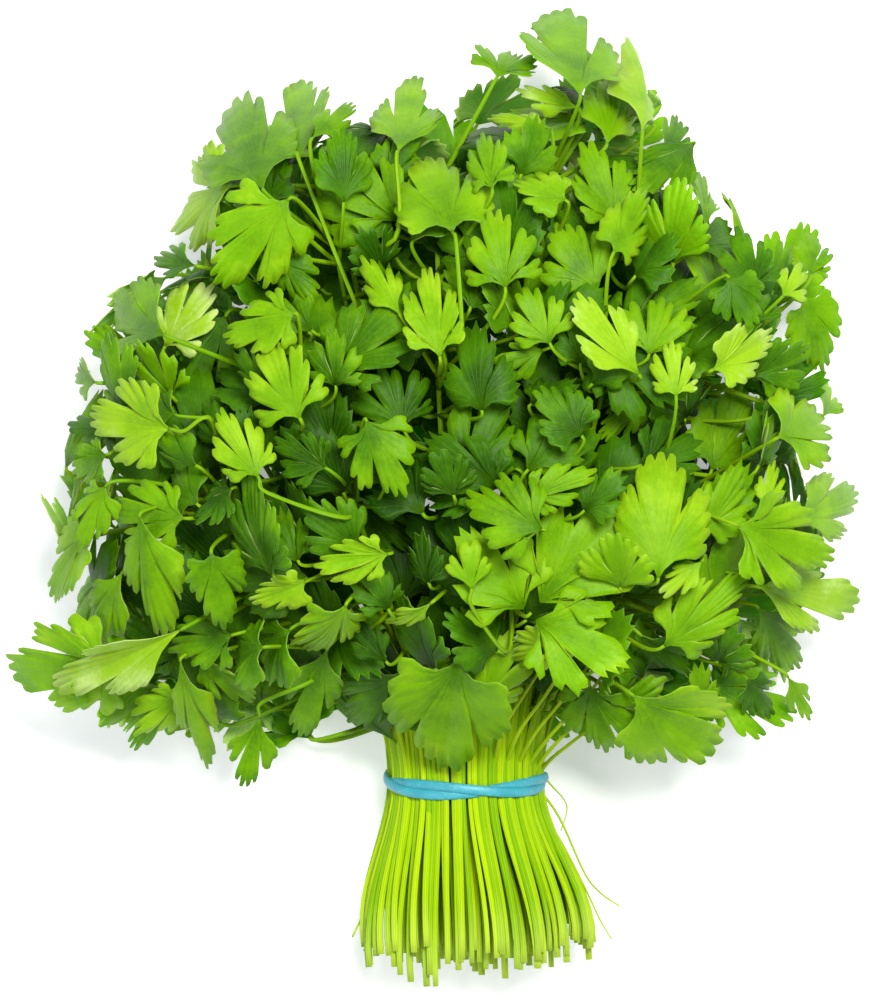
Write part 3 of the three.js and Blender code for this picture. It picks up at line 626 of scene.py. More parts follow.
# A leaflet's lobes from its right side to its left: the angles in degrees where each starts and ends,
# its reach as a share of the leaflet's length, and how much further it reaches at its last angle
# than at its first. Slits part the lobes.
FORMS = {
    "round": [(-70, -31, 0.86, 0.2), (-25, 25, 1.0, 0.0), (31, 70, 0.86, -0.2)],
    "broad": [(-86, -34, 0.8, 0.24), (-28, 26, 1.0, 0.02), (32, 84, 0.82, -0.25)],
    "deep": [
        (-80, -58, 0.68, 0.14),
        (-51, -24, 0.87, 0.06),
        (-17, 18, 1.0, 0.0),
        (25, 52, 0.87, -0.07),
        (58, 78, 0.68, -0.14),
    ],
    "narrow": [(-56, -25, 0.76, 0.18), (-18, 19, 1.0, 0.0), (26, 56, 0.76, -0.18)],
}
SLIT_DEPTH = {"round": 0.3, "broad": 0.34, "deep": 0.44, "narrow": 0.4}
LOBE_ROUNDING = 0.17
TOOTH_WIDTH = 3.9
TOOTH_DEPTH = 2.5
DEEPEST_TOOTH = 0.15
MOST_TEETH = 5
BASE_NARROW = (0.5, 0.75)
RAYS_PER_TOOTH = 4
RINGS_OF_BLADE = [0.16, 0.38, 0.6, 0.8, 1.0]
LEAF_THICK = 0.34
RIM_THICKNESS = 0.55
WAVE_TURNS = (2, 5, 9)
PLEAT = 0.003

# How much leaflets differ: the angles of their lobes in degrees and their reach, the depth of the
# slits, and the reach and the lean of each tooth.
ANGLE_JITTER = 2.2
REACH_JITTER = 0.07
SLIT_JITTER = 0.4
TIP_JITTER = 0.035
TOOTH_LEAN = 0.3
MOST_LOBES = 5
JITTERED_TEETH = 12

# A leaf of three leaflets, as shares of its length: where the middle one starts, its length and its
# width, and for the two beside it their turn in degrees, start, length and width.
MIDDLE_LEAFLET = (0.1, 0.9, 0.82)
SIDE_LEAFLET = (78, 0.05, 0.68, 0.66)

# No point of the looks lies lower than this, so that nothing sinks into the surface.
LOWEST_POINT = 0.04

# What the leaf's material reads on its rim: far from any vein, a little paler, partly its underside.
RIM_LOOK = dict(side=9.0, paler=0.1, under=0.4)


def outline_of(form, length, jitter):
    """A leaflet's edge as rows: angle in radians, reach, tooth, turn in the tooth, half its width."""
    rows = []
    number = 0
    for lobe, (first, last, reach, gain) in enumerate(FORMS[form]):
        turned = ANGLE_JITTER * jitter[lobe, 0]
        first, last = first + turned, last + turned
        reach = reach * (1 + REACH_JITTER * jitter[lobe, 1])
        arc = math.radians(last - first) * reach * length
        teeth = int(min(MOST_TEETH, max(2, round(arc / TOOTH_WIDTH))))
        depth = min(DEEPEST_TOOTH, TOOTH_DEPTH / length)
        half = (last - first) / 2 / teeth
        if rows:
            before = rows[-1]
            low = (1 - SLIT_DEPTH[form] * (1 + SLIT_JITTER * jitter[lobe, 1])) * before[1]
            rows.append(((before[0] + first) / 2, low, number, -1.0, half))
        for index in range(teeth):
            own = jitter[MOST_LOBES + number % JITTERED_TEETH]
            at = (2 * index + 1) / teeth - 1
            tip = reach * (1 - LOBE_ROUNDING * at * at) + gain * at / 2
            tip = tip * (1 + TIP_JITTER * own[0])
            for k in range(1 if index else 0, RAYS_PER_TOOTH + 1):
                t = 2 * k / RAYS_PER_TOOTH - 1
                swell = math.sqrt(max(0.0, 1 - t * t)) * (1 + TOOTH_LEAN * t * own[1])
                angle = first + half * (2 * index + 1 + t)
                rows.append((angle, tip * (1 - depth + depth * swell), number, t, half))
            number += 1
    rows = np.array(rows)
    rows[:, 0] = np.radians(rows[:, 0])
    rows[:, 4] = np.radians(rows[:, 4])
    return rows


class Piece:
    """Triangles gathered for one mesh, with what its materials read at each corner."""

    def __init__(self):
        self.points, self.faces, self.map, self.look, self.slots, self.smooth = [], [], [], [], [], []
        self.count = 0

    def add(self, points, groups):
        """Each group is faces, chart, look, material slot and whether they are smooth. The chart and
        the look have one row per corner of the faces."""
        for faces, chart, look, slot, smooth in groups:
            self.faces.append(faces + self.count)
            self.map.append(chart)
            self.look.append(look)
            self.slots.append(np.full(len(faces), slot))
            self.smooth.append(np.full(len(faces), smooth))
        self.points.append(points)
        self.count += len(points)

    def build(self, name, materials):
        points = (np.vstack(self.points) + origin) * METRE
        faces = np.vstack(self.faces)
        mesh = bpy.data.meshes.new(name)
        mesh.vertices.add(len(points))
        mesh.vertices.foreach_set("co", points.astype(np.float32).ravel())
        mesh.loops.add(faces.size)
        mesh.loops.foreach_set("vertex_index", faces.astype(np.int32).ravel())
        mesh.polygons.add(len(faces))
        mesh.polygons.foreach_set("loop_start", np.arange(0, faces.size, 3, dtype=np.int32))
        mesh.polygons.foreach_set("material_index", np.concatenate(self.slots).astype(np.int32))
        mesh.polygons.foreach_set("use_smooth", np.concatenate(self.smooth))
        for label, rows in (("chart", self.map), ("look", self.look)):
            layer = mesh.attributes.new(label, "FLOAT_VECTOR", "CORNER")
            layer.data.foreach_set("vector", np.vstack(rows).astype(np.float32).ravel())
        mesh.update(calc_edges=True)
        for material in materials:
            mesh.materials.append(material)
        made = bpy.data.objects.new(name, mesh)
        bpy.context.scene.collection.objects.link(made)
        return made


def leaflets_of(leaf):
    """The leaflets of a leaf: where each starts on its blade, its turn, length, width and form."""
    if leaf["lobes"] is not TRIPLE_LOBES:
        return [((0.0, 0.0), 0.0, leaf["length"], leaf["width"], leaf["form"])]
    size = leaf["length"]
    start, length, width = MIDDLE_LEAFLET
    found = [((0.0, start * size), 0.0, length * size, width * size, leaf["form"])]
    degrees, start, length, width = SIDE_LEAFLET
    for side in (-1, 1):
        turn = math.radians(degrees * side)
        found.append(((-side * start * size, 0.0), turn, length * size, width * size, leaf["form"]))
    return found


def blade_grid(leaf, leaflet, fine, shares):
    """Points of a leaflet in rings of the shares, with the angle data of its rays."""
    start, turn, length, width, form = leaflet
    edge = outline_of(form, length, leaf["jitter"])
    if not fine:
        edge = edge[np.abs(np.abs(edge[:, 3]) - 1 / 2) > 0.05]
    angles, reach, tooth, turn_in_tooth, half_width = edge.T
    narrow, full = BASE_NARROW
    bent = angles * (narrow + (1 - narrow) * np.minimum(1, shares[:, None] / full))
    a = shares[:, None] * -np.sin(bent) * reach * width / 2 / np.abs(np.sin(angles) * reach).max()
    b = shares[:, None] * np.cos(bent) * reach * length / (np.cos(angles) * reach).max()
    a, b = a * leaf["grow"], b * leaf["grow"]
    u = start[0] + a * math.cos(turn) - b * math.sin(turn)
    v = start[1] + a * math.sin(turn) + b * math.cos(turn)
    s = shares[:, None]
    w1, w2, w3, p1, p2, p3 = leaf["waves"]
    few, more, most = WAVE_TURNS
    wave = w1 * s**2 * np.cos(few * angles + p1) + w2 * s**3 * np.cos(more * angles + p2)
    wave = wave + w3 * s**4 * np.cos(most * angles + p3)
    pleat = PLEAT * s * (np.abs(turn_in_tooth)[None, :] - 0.5)
    fold = leaf["fold"] * s * np.abs(np.sin(angles))[None, :]
    extra = length * (wave + pleat + fold)
    droop = -leaf["droop"] * length * s**3 * np.ones_like(a)
    points = on_blade(leaf, u.ravel(), v.ravel(), (extra + droop).ravel())
    return points.reshape(len(shares), len(angles), 3), reach * length, tooth, turn_in_tooth, half_width


def halved(p, q, r, s):
    """The triangles of rows of quads: first one of each, then the other of each."""
    return np.vstack([np.stack([p, q, r], 1), np.stack([p, r, s], 1)])


def add_leaflet(piece, leaf, leaflet, fine):
    shares = np.array(RINGS_OF_BLADE if fine else RINGS_OF_BLADE[1:])
    grid, reach, tooth, turns, half_width = blade_grid(leaf, leaflet, fine, shares)
    rings, rays = grid.shape[:2]
    start = np.array([leaflet[0]])
    middle = on_blade(leaf, start[:, 0], start[:, 1])
    skin = np.vstack([middle, grid.reshape(-1, 3)])
    thick = np.where(shares == shares[-1], RIM_THICKNESS, 1.0)
    thick = np.concatenate([[1.0], np.repeat(thick, rays)])[:, None]
    half = leaf["normal"] * LEAF_THICK / 2
    points = np.vstack([skin + half * thick, skin - half * thick])
    points[:, 2] = np.maximum(points[:, 2], LOWEST_POINT)
    total = len(skin)

    # The corners of each kind of triangle, as a ring and a step along the rays. Ring -1 is the start.
    kinds = [((-1, 0), (0, 0), (0, 1))]
    for r in range(rings - 1):
        kinds += [((r, 0), (r + 1, 0), (r + 1, 1)), ((r, 0), (r + 1, 1), (r, 1))]
    ray = np.arange(rays - 1)[:, None]
    ring_of = np.vstack([np.tile([ring for ring, _ in kind], (rays - 1, 1)) for kind in kinds])
    ray_of = np.vstack([ray + np.array([step for _, step in kind]) for kind in kinds])
    at = lambda ring, i: 1 + ring * rays + i
    corners = np.where(ring_of < 0, 0, at(ring_of, ray_of))

    # Each face lies in one tooth, so that the distance to its vein is smooth inside it.
    face_tooth = tooth[ray_of.max(1)][:, None]
    first = tooth[ray_of] < face_tooth
    turn = np.where(first, -1.0, turns[ray_of])
    share = np.where(ring_of < 0, 0.0, shares[np.maximum(ring_of, 0)])
    radial = share * reach[ray_of]
    chart = np.stack([turn * half_width[ray_of] * radial, radial, share], 2).reshape(-1, 3)
    tone, mark = leaf["tone"], leaf["mark"]
    top = np.tile([tone, 0.0, mark], (len(chart), 1))
    under = np.tile([tone, 1.0, mark], (len(chart), 1))
    if leaf["turned"]:
        top, under = under, top

    # Corners run the same way round as the normal when seen from its tip.
    a, b, c = points[corners[rays + 3]]
    flip = float(np.cross(b - a, c - a) @ leaf["normal"]) < 0
    order = [0, 2, 1] if flip else [0, 1, 2]
    back = [0, 1, 2] if flip else [0, 2, 1]
    chart3 = chart.reshape(-1, 3, 3)
    lower = corners[:, back] + total
    edge = [0] + [at(r, 0) for r in range(rings)] + [at(rings - 1, i) for i in range(1, rays)]
    edge += [at(r, rays - 1) for r in range(rings - 2, -1, -1)]
    edge = np.array(edge)
    after = np.roll(edge, -1)
    if not flip:
        edge, after = after, edge
    rim = halved(edge, after, after + total, edge + total)
    rim_share = np.concatenate([[0.0], np.repeat(shares, rays)])
    rim_chart = np.zeros((rim.size, 3))
    rim_chart[:, 0] = RIM_LOOK["side"]
    rim_chart[:, 2] = rim_share[(rim % total).ravel()]
    rim_look = [min(1.0, tone + RIM_LOOK["paler"]), RIM_LOOK["under"], mark]
    rim_look = np.tile(rim_look, (rim.size, 1))
    piece.add(points, [
        (corners[:, order], chart3[:, order].reshape(-1, 3), top, 0, True),
        (lower, chart3[:, back].reshape(-1, 3), under, 0, True),
        (rim, rim_chart, rim_look, 0, False),
    ])


def add_tube(piece, path, radii, sides, along, mark):
    """A round tube with closed ends. Along is its share of the whole stem at each point."""
    path = np.asarray(path, float)
    forward = np.gradient(path, axis=0)
    forward /= np.linalg.norm(forward, axis=1)[:, None]
    side = np.cross(forward[0], [0.3, 0.1, 1.0])
    side /= np.linalg.norm(side)
    turns = np.linspace(0, 2 * math.pi, sides, endpoint=False)
    rows = []
    for point, ahead, radius in zip(path, forward, radii):
        side = side - ahead * float(side @ ahead)
        side /= np.linalg.norm(side)
        up = np.cross(ahead, side)
        rows.append(point + radius * (np.cos(turns)[:, None] * side + np.sin(turns)[:, None] * up))
    count = len(path)
    points = np.vstack(rows + [path[:1], path[-1:]])
    points[:, 2] = np.maximum(points[:, 2], LOWEST_POINT)
    i, j = np.meshgrid(np.arange(count - 1), np.arange(sides), indexing="ij")
    i, j = i.ravel(), j.ravel()
    n = (j + 1) % sides
    p, q, r, s = i * sides + j, i * sides + n, (i + 1) * sides + n, (i + 1) * sides + j
    wall = halved(p, q, r, s)
    mm = np.concatenate([[0], np.cumsum(np.linalg.norm(np.diff(path, axis=0), axis=1))])

    def rows_of(faces, turn_of):
        ring = np.minimum(faces // sides, count - 1)
        chart = np.stack([turn_of, mm[ring], np.zeros_like(turn_of)], 2).reshape(-1, 3)
        look = np.stack([along[ring], np.zeros_like(turn_of), np.full(ring.shape, mark)], 2)
        return chart, look.reshape(-1, 3)

    turn = np.where(wall % sides == 0, 0.0, (wall % sides) / sides)
    last_side = np.concatenate([j, j])[:, None] == sides - 1
    wraps = (turn.max(1) > 0.5)[:, None] & (turn == 0) & last_side
    wall_chart, wall_look = rows_of(wall, np.where(wraps, 1.0, turn))
    k = np.arange(sides)
    last = (count - 1) * sides
    caps = np.vstack([
        np.stack([np.full(sides, count * sides), (k + 1) % sides, k], 1),
        np.stack([np.full(sides, count * sides + 1), last + k, last + (k + 1) % sides], 1),
    ])
    chart = np.zeros((caps.size, 3))
    look = np.tile([0.0, 0.0, mark], (caps.size, 1))
    look[:, 0] = np.where(np.repeat(np.arange(2 * sides) < sides, 3), along[0] - 0.05, along[-1])
    piece.add(points, [(wall, wall_chart, wall_look, 1, True), (caps, chart, look, 1, False)])


class Voxels:
    """The space that leaves and stems fill, in small cubes."""

    SIZE = 1.0
    LOW = np.array([-150.0, -90.0, -10.0])
    COUNT = (300, 340, 140)

    def __init__(self):
        self.full = np.zeros(self.COUNT, bool)
        self.near = np.array([cell for cell in Room.AROUND if sum(map(abs, cell)) <= 1])

    def cells(self, points):
        at = ((points - self.LOW) / self.SIZE).astype(int)
        return np.clip(at, 1, np.array(self.COUNT) - 2)

    def fill(self, points):
        at = (self.cells(points)[:, None, :] + self.near[None]).reshape(-1, 3)
        self.full[at[:, 0], at[:, 1], at[:, 2]] = True

    def share_full(self, points):
        at = self.cells(points)
        return float(self.full[at[:, 0], at[:, 1], at[:, 2]].mean())


voxels = Voxels()


def leaf_samples(leaf):
    points = []
    for leaflet in leaflets_of(leaf):
        shares = np.linspace(0.12, 1, max(4, int(leaflet[2] / 1.1)))
        grid = blade_grid(leaf, leaflet, True, shares)[0]
        points.append(grid.reshape(-1, 3))
        points.append((grid[:, 1:] + grid[:, :-1]).reshape(-1, 3) / 2)
    return np.vstack(points)


# Leaves at the edge of the head reach a little further than in the frame, some more than the rest.
EDGE_FROM = 0.88
EDGE_GROWTH = 1.08
GROWTH = {
    (126, 662): 1.18,
    (575, 112): 1.14,
    (635, 145): 1.3,
    (776, 524): 1.2,
    (270, 202): 1.22,
    (100, 528): 1.2,
    (305, 168): 1.14,
    (794, 300): 1.14,
}

# Painted shade: leaves near the middle of the head get a darker tone, as the shade that falls there.
# Pale leaves darken less there.
SHADED_MIDDLE = (410, 520)
MIDDLE_SHADE_REACH = 36.0
MIDDLE_SHADE_SHARE = 0.17
PALE_FROM, PALE_SHADE_SHARE = 0.7, 0.3

# Leaves paler than this are seen from their underside.
TURNED_TONE = 0.95

# Leaves that are narrower or shorter than this have narrow lobes.
NARROW_WIDTH, SHORT_LENGTH = 0.62, 15
WIDE_FORMS = ["round", "broad", "deep", "deep"]

# The waves, the fold and the droop of a blade, as shares of its length.
WAVE_HEIGHTS = np.array([0.07, 0.045, 0.02])
LEAST_WAVE = 0.4
FOLD = (-0.06, 0.14)
DROOP = (0, 0.14)


def dress(leaf, tone, ruffle=1.0):
    """Gives a leaf the small differences that each real one has, and darkens its tone near the head's
    middle as painted shade.
    """
    small = leaf["width"] < NARROW_WIDTH * leaf["length"] or leaf["length"] < SHORT_LENGTH
    leaf["form"] = "narrow" if small else rng.choice(WIDE_FORMS)
    leaf["jitter"] = rng.uniform(-1, 1, (MOST_LOBES + JITTERED_TEETH, 2))
    wave = rng.uniform(LEAST_WAVE, 1, 3) * WAVE_HEIGHTS * ruffle
    leaf["waves"] = [*wave, *rng.uniform(0, 2 * math.pi, 3)]
    leaf["fold"] = rng.uniform(*FOLD) * ruffle
    leaf["droop"] = rng.uniform(*DROOP) * ruffle
    tip = leaf["base"] + leaf["heading"] * leaf["length"]
    leaf["grow"] = GROWTH.get(leaf.get("pixel"), EDGE_GROWTH if photo_reach(tip) > EDGE_FROM else 1.0)
    leaf["bend"] = STALK_BEND
    # Painted shade: the nearer the leaf lies to the head's middle, the darker its tone.
    centre = leaf["base"] + leaf["heading"] * leaf["length"] / 2 - from_pixel(SHADED_MIDDLE, 0)
    middle_shade = math.exp(-((math.hypot(centre[0], centre[1]) / MIDDLE_SHADE_REACH) ** 2))
    leaf["tone"] = tone - MIDDLE_SHADE_SHARE * middle_shade * (PALE_SHADE_SHARE if tone > PALE_FROM else 1)
    leaf["mark"] = rng.uniform(0, 1)
    leaf["turned"] = tone > TURNED_TONE


# Six thin stems for each sprig: beside which of the frame's two it runs, and how far from it at the
# crown and in the skirt. The leaves hang on one thin stem for each of the two.
STRANDS = [
    (0, 0.95, 3.5),
    (0, 0.0, 2.1),
    (0, -0.7, 0.7),
    (1, 0.7, -0.7),
    (1, 0.0, -2.1),
    (1, -0.95, -3.5),
]
MAIN_STRAND = {0: 1, 1: 4}
STRAND_ENDS = [0.82, 1.0, 0.6, 0.6, 1.0, 0.74]
STRAND_SPREAD = dict(neck=0.95, cut=1.62)
STRAND_STRAY = dict(neck=0.35, cut=0.7, swell=0.03)
STRAND_WOBBLE = (2.6, 1.5, 0.8, 1)
STRAND_RADIUS = (0.74, 1.0)
NECK_SWELL = 0.12
STRAND_SIDES = 8
STRAND_TAPER = ([0, 0.3, 1], [1.05, 1, 0.75])

# The cut ends follow a shallow arc: its lowest point, its rise to both sides and its slant.
CUT_ARC = (-1.2, 5, 1.5)

# How much wider the skirt of thin stems spreads at its left and right than in the frame.
FLARE = [(1.06, 1.02), (1.2, 1.09)]


def visible_stem(sprig, number, wobble):
    """A thin stem beside one of the frame's, as points from its cut end to its top."""
    side, crown_gap, skirt_gap = STRANDS[number]
    sign = 1 if side == 0 else -1
    gaps = {
        "neck": skirt_gap * STRAND_SPREAD["neck"] + STRAND_STRAY["neck"] * wobble[3],
        "cut": skirt_gap * STRAND_SPREAD["cut"] + STRAND_STRAY["cut"] * wobble[3],
        "crown": STEM_GAP["crown"] * sign + crown_gap,
    }
    aside = sprig["slot"][0] / BAND["inner"]
    low, round_off, slant = CUT_ARC
    cut_back = sprig["cut_back"][side] + low + round_off * aside**2 + slant * aside + wobble[0]
    skirt, crown = stem_curve(sprig["slot"], sprig["angle"], gaps, sprig["junction"], cut_back)
    swell = NECK_SWELL + STRAND_STRAY["swell"] * wobble[3]
    swell = vector(sprig["slot"][0], 0, sprig["slot"][1]) * swell
    skirt[2], skirt[3] = skirt[2] + swell, skirt[3] + swell
    crown[0], crown[1] = crown[0] + swell, crown[1] + swell
    for step, share in ((0, 1), (1, 0.8)):
        skirt[step] = skirt[step] + share * vector(wobble[1], 0, wobble[2])
        skirt[step][0] *= FLARE[step][int(skirt[step][0] > 0)]
    end = (LONG_STEM["end"], SHORT_STEM["end"])[side]
    whole = (SKIRT_SHARE + (1 - SKIRT_SHARE) * end) * STRAND_ENDS[number]
    shares = np.linspace(0, whole, 14 + int(20 * whole))
    return np.array([stem_point(skirt, crown, share) for share in shares]), shares


def root_on(stem, share):
    """The point of a drawn stem at a share of its length in the frame."""
    points, _ = stem
    place = share * (len(points) - 1)
    step = min(int(place), len(points) - 2)
    return points[step] + (points[step + 1] - points[step]) * (place - step)


# How far before the blade its stalk starts to turn into the blade's direction.
NEAR_BEND = 10.0
STALK_RADIUS = (0.8, 0.5)
STALK_SIDES = 6

# Stalks that show in the photograph: the pixel where the blade starts and the one where its stalk
# goes out of sight between other leaves.
SHOWN_STALKS = {
    (268, 479): (350, 517),
    (452, 246): (460, 350),
    (305, 168): (362, 318),
    (400, 166): (397, 250),
    (182, 432): (222, 424),
    (470, 586): (506, 646),
    (263, 712): (316, 676),
}

# Loose thin stems beside the skirt and in the fan above the band: the sprig, the radius in
# millimetres and the places they pass, each a pixel and a height in millimetres.
LOOSE_POINTS = 26
LOOSE_TONE, LOOSE_MARK = (0.2, 0.02), 0.8
LOOSE_STEMS = [
    (20, 0.32, [(530, 760, 22), (550, 784, 22), (567, 806, 22), (561, 832, 22)]),
    (20, 0.42, [(520, 770, 22), (556, 812, 22), (584, 872, 22), (600, 893, 22), (620, 907, 22)]),
    (37, 0.4, [(522, 780, 22), (560, 840, 22), (586, 890, 22), (600, 920, 22), (612, 940, 22)]),
    (28, 0.5, [(405, 770, 22), (392, 830, 22), (372, 895, 22), (352, 938, 22)]),
    (29, 0.6, [(410, 780, 22), (394, 850, 22), (380, 905, 22), (364, 952, 22)]),
    (20, 0.75, [(524, 800, 26), (536, 768, 29), (558, 738, 39), (592, 704, 44), (622, 672, 46)]),
    (37, 0.8, [(520, 800, 29), (528, 766, 31), (548, 734, 43), (580, 698, 50), (606, 664, 54)]),
    (37, 0.75, [(512, 802, 31), (518, 764, 34), (534, 730, 47), (562, 694, 54), (588, 658, 58)]),
    (19, 0.8, [(502, 803, 33), (506, 764, 36), (518, 728, 49), (544, 690, 57), (566, 656, 60)]),
    (36, 0.75, [(492, 803, 35), (494, 764, 37.5), (502, 726, 50), (524, 688, 58), (545, 655, 61)]),
    (20, 0.7, [(528, 796, 22), (545, 766, 23), (570, 742, 33), (604, 716, 38), (640, 690, 40)]),
]


def smooth_path(points, count):
    """Points evenly along a smooth curve through the points."""
    points = np.asarray(points, float)
    ends = np.vstack([2 * points[0] - points[1], points, 2 * points[-1] - points[-2]])
    found = []
    for place in np.linspace(0, len(points) - 1 - 1e-9, count):
        step = int(place)
        t = place - step
        a, b, c, d = ends[step : step + 4]
        curve = (c - a) * t + (2 * a - 5 * b + 4 * c - d) * t * t + (3 * b - a - 3 * c + d) * t**3
        found.append(b + curve / 2)
    return np.array(found)


def stalk_path(leaf, root):
    """The middle line of a leaf's stalk, from its root on a stem to its blade."""
    kept = leaf["root"]
    leaf["root"] = root
    ahead = max(0.0, float(unit(leaf["base"] - root) @ leaf["heading"]))
    leaf["bend"] = min(STALK_BEND, NEAR_BEND * (0.3 + 0.7 * ahead) / leaf["stalk"])
    path = np.array([on_stalk(leaf, t) for t in np.linspace(0, 1, 13)])
    leaf["root"] = kept
    if leaf.get("pixel") in SHOWN_STALKS:
        out_of_sight = from_pixel(SHOWN_STALKS[leaf["pixel"]], 0)
        height = min(leaf["base"][2] + 3, head_top(out_of_sight[0], out_of_sight[1]) - 1)
        out_of_sight[2] = height
        before = leaf["base"] - leaf["heading"] * 5
        path = smooth_path([root, out_of_sight, before, leaf["base"]], 19)
    return path


def add_stalk(piece, leaf, root):
    path = stalk_path(leaf, root)
    size = min(1.0, 0.75 + leaf["length"] / 90)
    radii = np.linspace(*STALK_RADIUS, len(path)) * size
    path[-1] = path[-1] + leaf["heading"] * 0.6
    add_tube(piece, path, radii, STALK_SIDES, np.linspace(0.85, 1.0, len(path)), leaf["mark"])


def photo_reach(point):
    """How far a point lies from the head's centre seen from above, as a share of the outline."""
    x, y = point[0] - HEAD_CENTRE[0], point[1] - HEAD_CENTRE[1]
    return math.hypot(x, y) / head_reach(x, y)


def reach_beyond(points):
    """The furthest that points reach past the photograph's outline, as a share of it."""
    away = points[::5, :2] - HEAD_CENTRE[:2]
    angle = np.degrees(np.arctan2(away[:, 1], away[:, 0])) % 360
    limits, reach = np.array(HEAD_OUTLINE).T
    return (np.hypot(away[:, 0], away[:, 1]) / (np.interp(angle, limits, reach) * MM_PER_PIXEL)).max()


# The stems fan out above the band between these pixels, with no leaves over them.
FAN_LOW, FAN_HIGH = (462, 792), (592, 700)
FAN_HEIGHT = (24, 200)


def covers_fan(points):
    low, high = from_pixel(FAN_LOW, FAN_HEIGHT[0]), from_pixel(FAN_HIGH, FAN_HEIGHT[1])
    return bool(((points > low) & (points < high)).all(1).any())


# What the fill leaves cover: the climb of their place above the head's middle in degrees, how deep
# they lie, as a share of the way out or in millimetres below the top, and their size.
FILL_TRIES = 22000
MOST_SHARED = 0.02
MOST_GROWN = 560
FILL_LEVELS = [
    (50, 90, 0, 9, 20, 36),
    (-10, 45, 0.86, 0.99, 20, 38),
    (50, 90, 8, 20, 20, 38),
    (-70, 10, 0.75, 0.98, 20, 40),
    (50, 90, 2, 14, 14, 26),
    (-20, 60, 0.7, 0.9, 20, 38),
    (50, 90, 14, 30, 24, 40),
    (50, 90, 28, 60, 26, 42),
]

# Steeper levels fill the top of the head, out to this share of its outline.
STEEP_CLIMB = 40
TOP_REACH = 0.93

# A leaf of the filling: how near the band and the surface its middle may be, how far its facing and
# its heading stray, the share of it that lies behind its middle, and the ranges of its bends.
FILL_FRONT = 18.0
FILL_LOWEST = 3.0
FILL_TILT = 0.65
FILL_STRAY = 0.75
BEHIND_MIDDLE = 0.45
FILL_ARCH, FILL_CUP, FILL_TWIST = (0.02, 0.3), (-0.3, 0.2), (-0.2, 0.2)
FILL_WIDTH = (0.85, 1.05)
FILL_REACH = 1.02
PROBES, MOST_PROBED = 10, 0.15
FINE_SHADE = 0.42

# Its tone carries a painted shade: it falls off with its depth in millimetres, and less so at the
# head's edge.
SHADE_DEPTH = 12.0
SHADE_INSIDE = 0.55
SIDE_SHADE = 0.65
SIDE_FROM, SIDE_RANGE = 0.7, 0.25
FILL_TONE = (0.04, 0.52, (-0.1, 0.2))

# Its stalk: how long it may be, how far it may lean back, and what a full stem costs.
FILL_STALK = (5.0, 62.0)
MOST_BACKWARD = -0.15
MOST_FOLDED = -0.4
FULL_STEM_COST = 2.5
STALK_PLACES = np.arange(0.52, 0.99, 0.04)
NO_PLACE = 1e6

# Where the photograph's outline has a gap that no leaf of the filling may cover: a pixel and how
# far round it in pixels.
OUTLINE_GAPS = [
    ((488, 84), 34), ((752, 196), 40), ((172, 262), 14), ((790, 330), 12), ((335, 738), 18),
    ((285, 760), 12), ((370, 112), 14), ((858, 548), 20),
    ((224, 732), 11), ((52, 606), 22), ((640, 42), 14), ((436, 96), 12),
]
GAP_GROWTH = 0.84

# The share of a filling leaf that may lie over a leaf that shows in the photograph.
MOST_HIDING = 0.12

# Cells seen from above that no leaf covers yet, and the leaves tried deep in the head to close them.
COVER_CELL = 2.2
COVER_CELLS = 124
COVER_LOW = np.array([-140.0, -30.0])
COVER_REACH = 0.88
COVER_TRIES = 30
COVER_FRONT = 30.0
COVER_STRAY = 7.0
COVER_LOWEST = 5.0
COVER_DEPTH = 14.0
COVER_TILT = 0.3
COVER_SIZE = (22, 32)
COVER_SHARED = 0.04


def in_gap(points):
    for pixel, wide in OUTLINE_GAPS:
        away = points[::3, :2] - from_pixel(pixel, 0)[:2]
        if (np.hypot(away[:, 0], away[:, 1]) < wide * MM_PER_PIXEL).any():
            return True
    return False


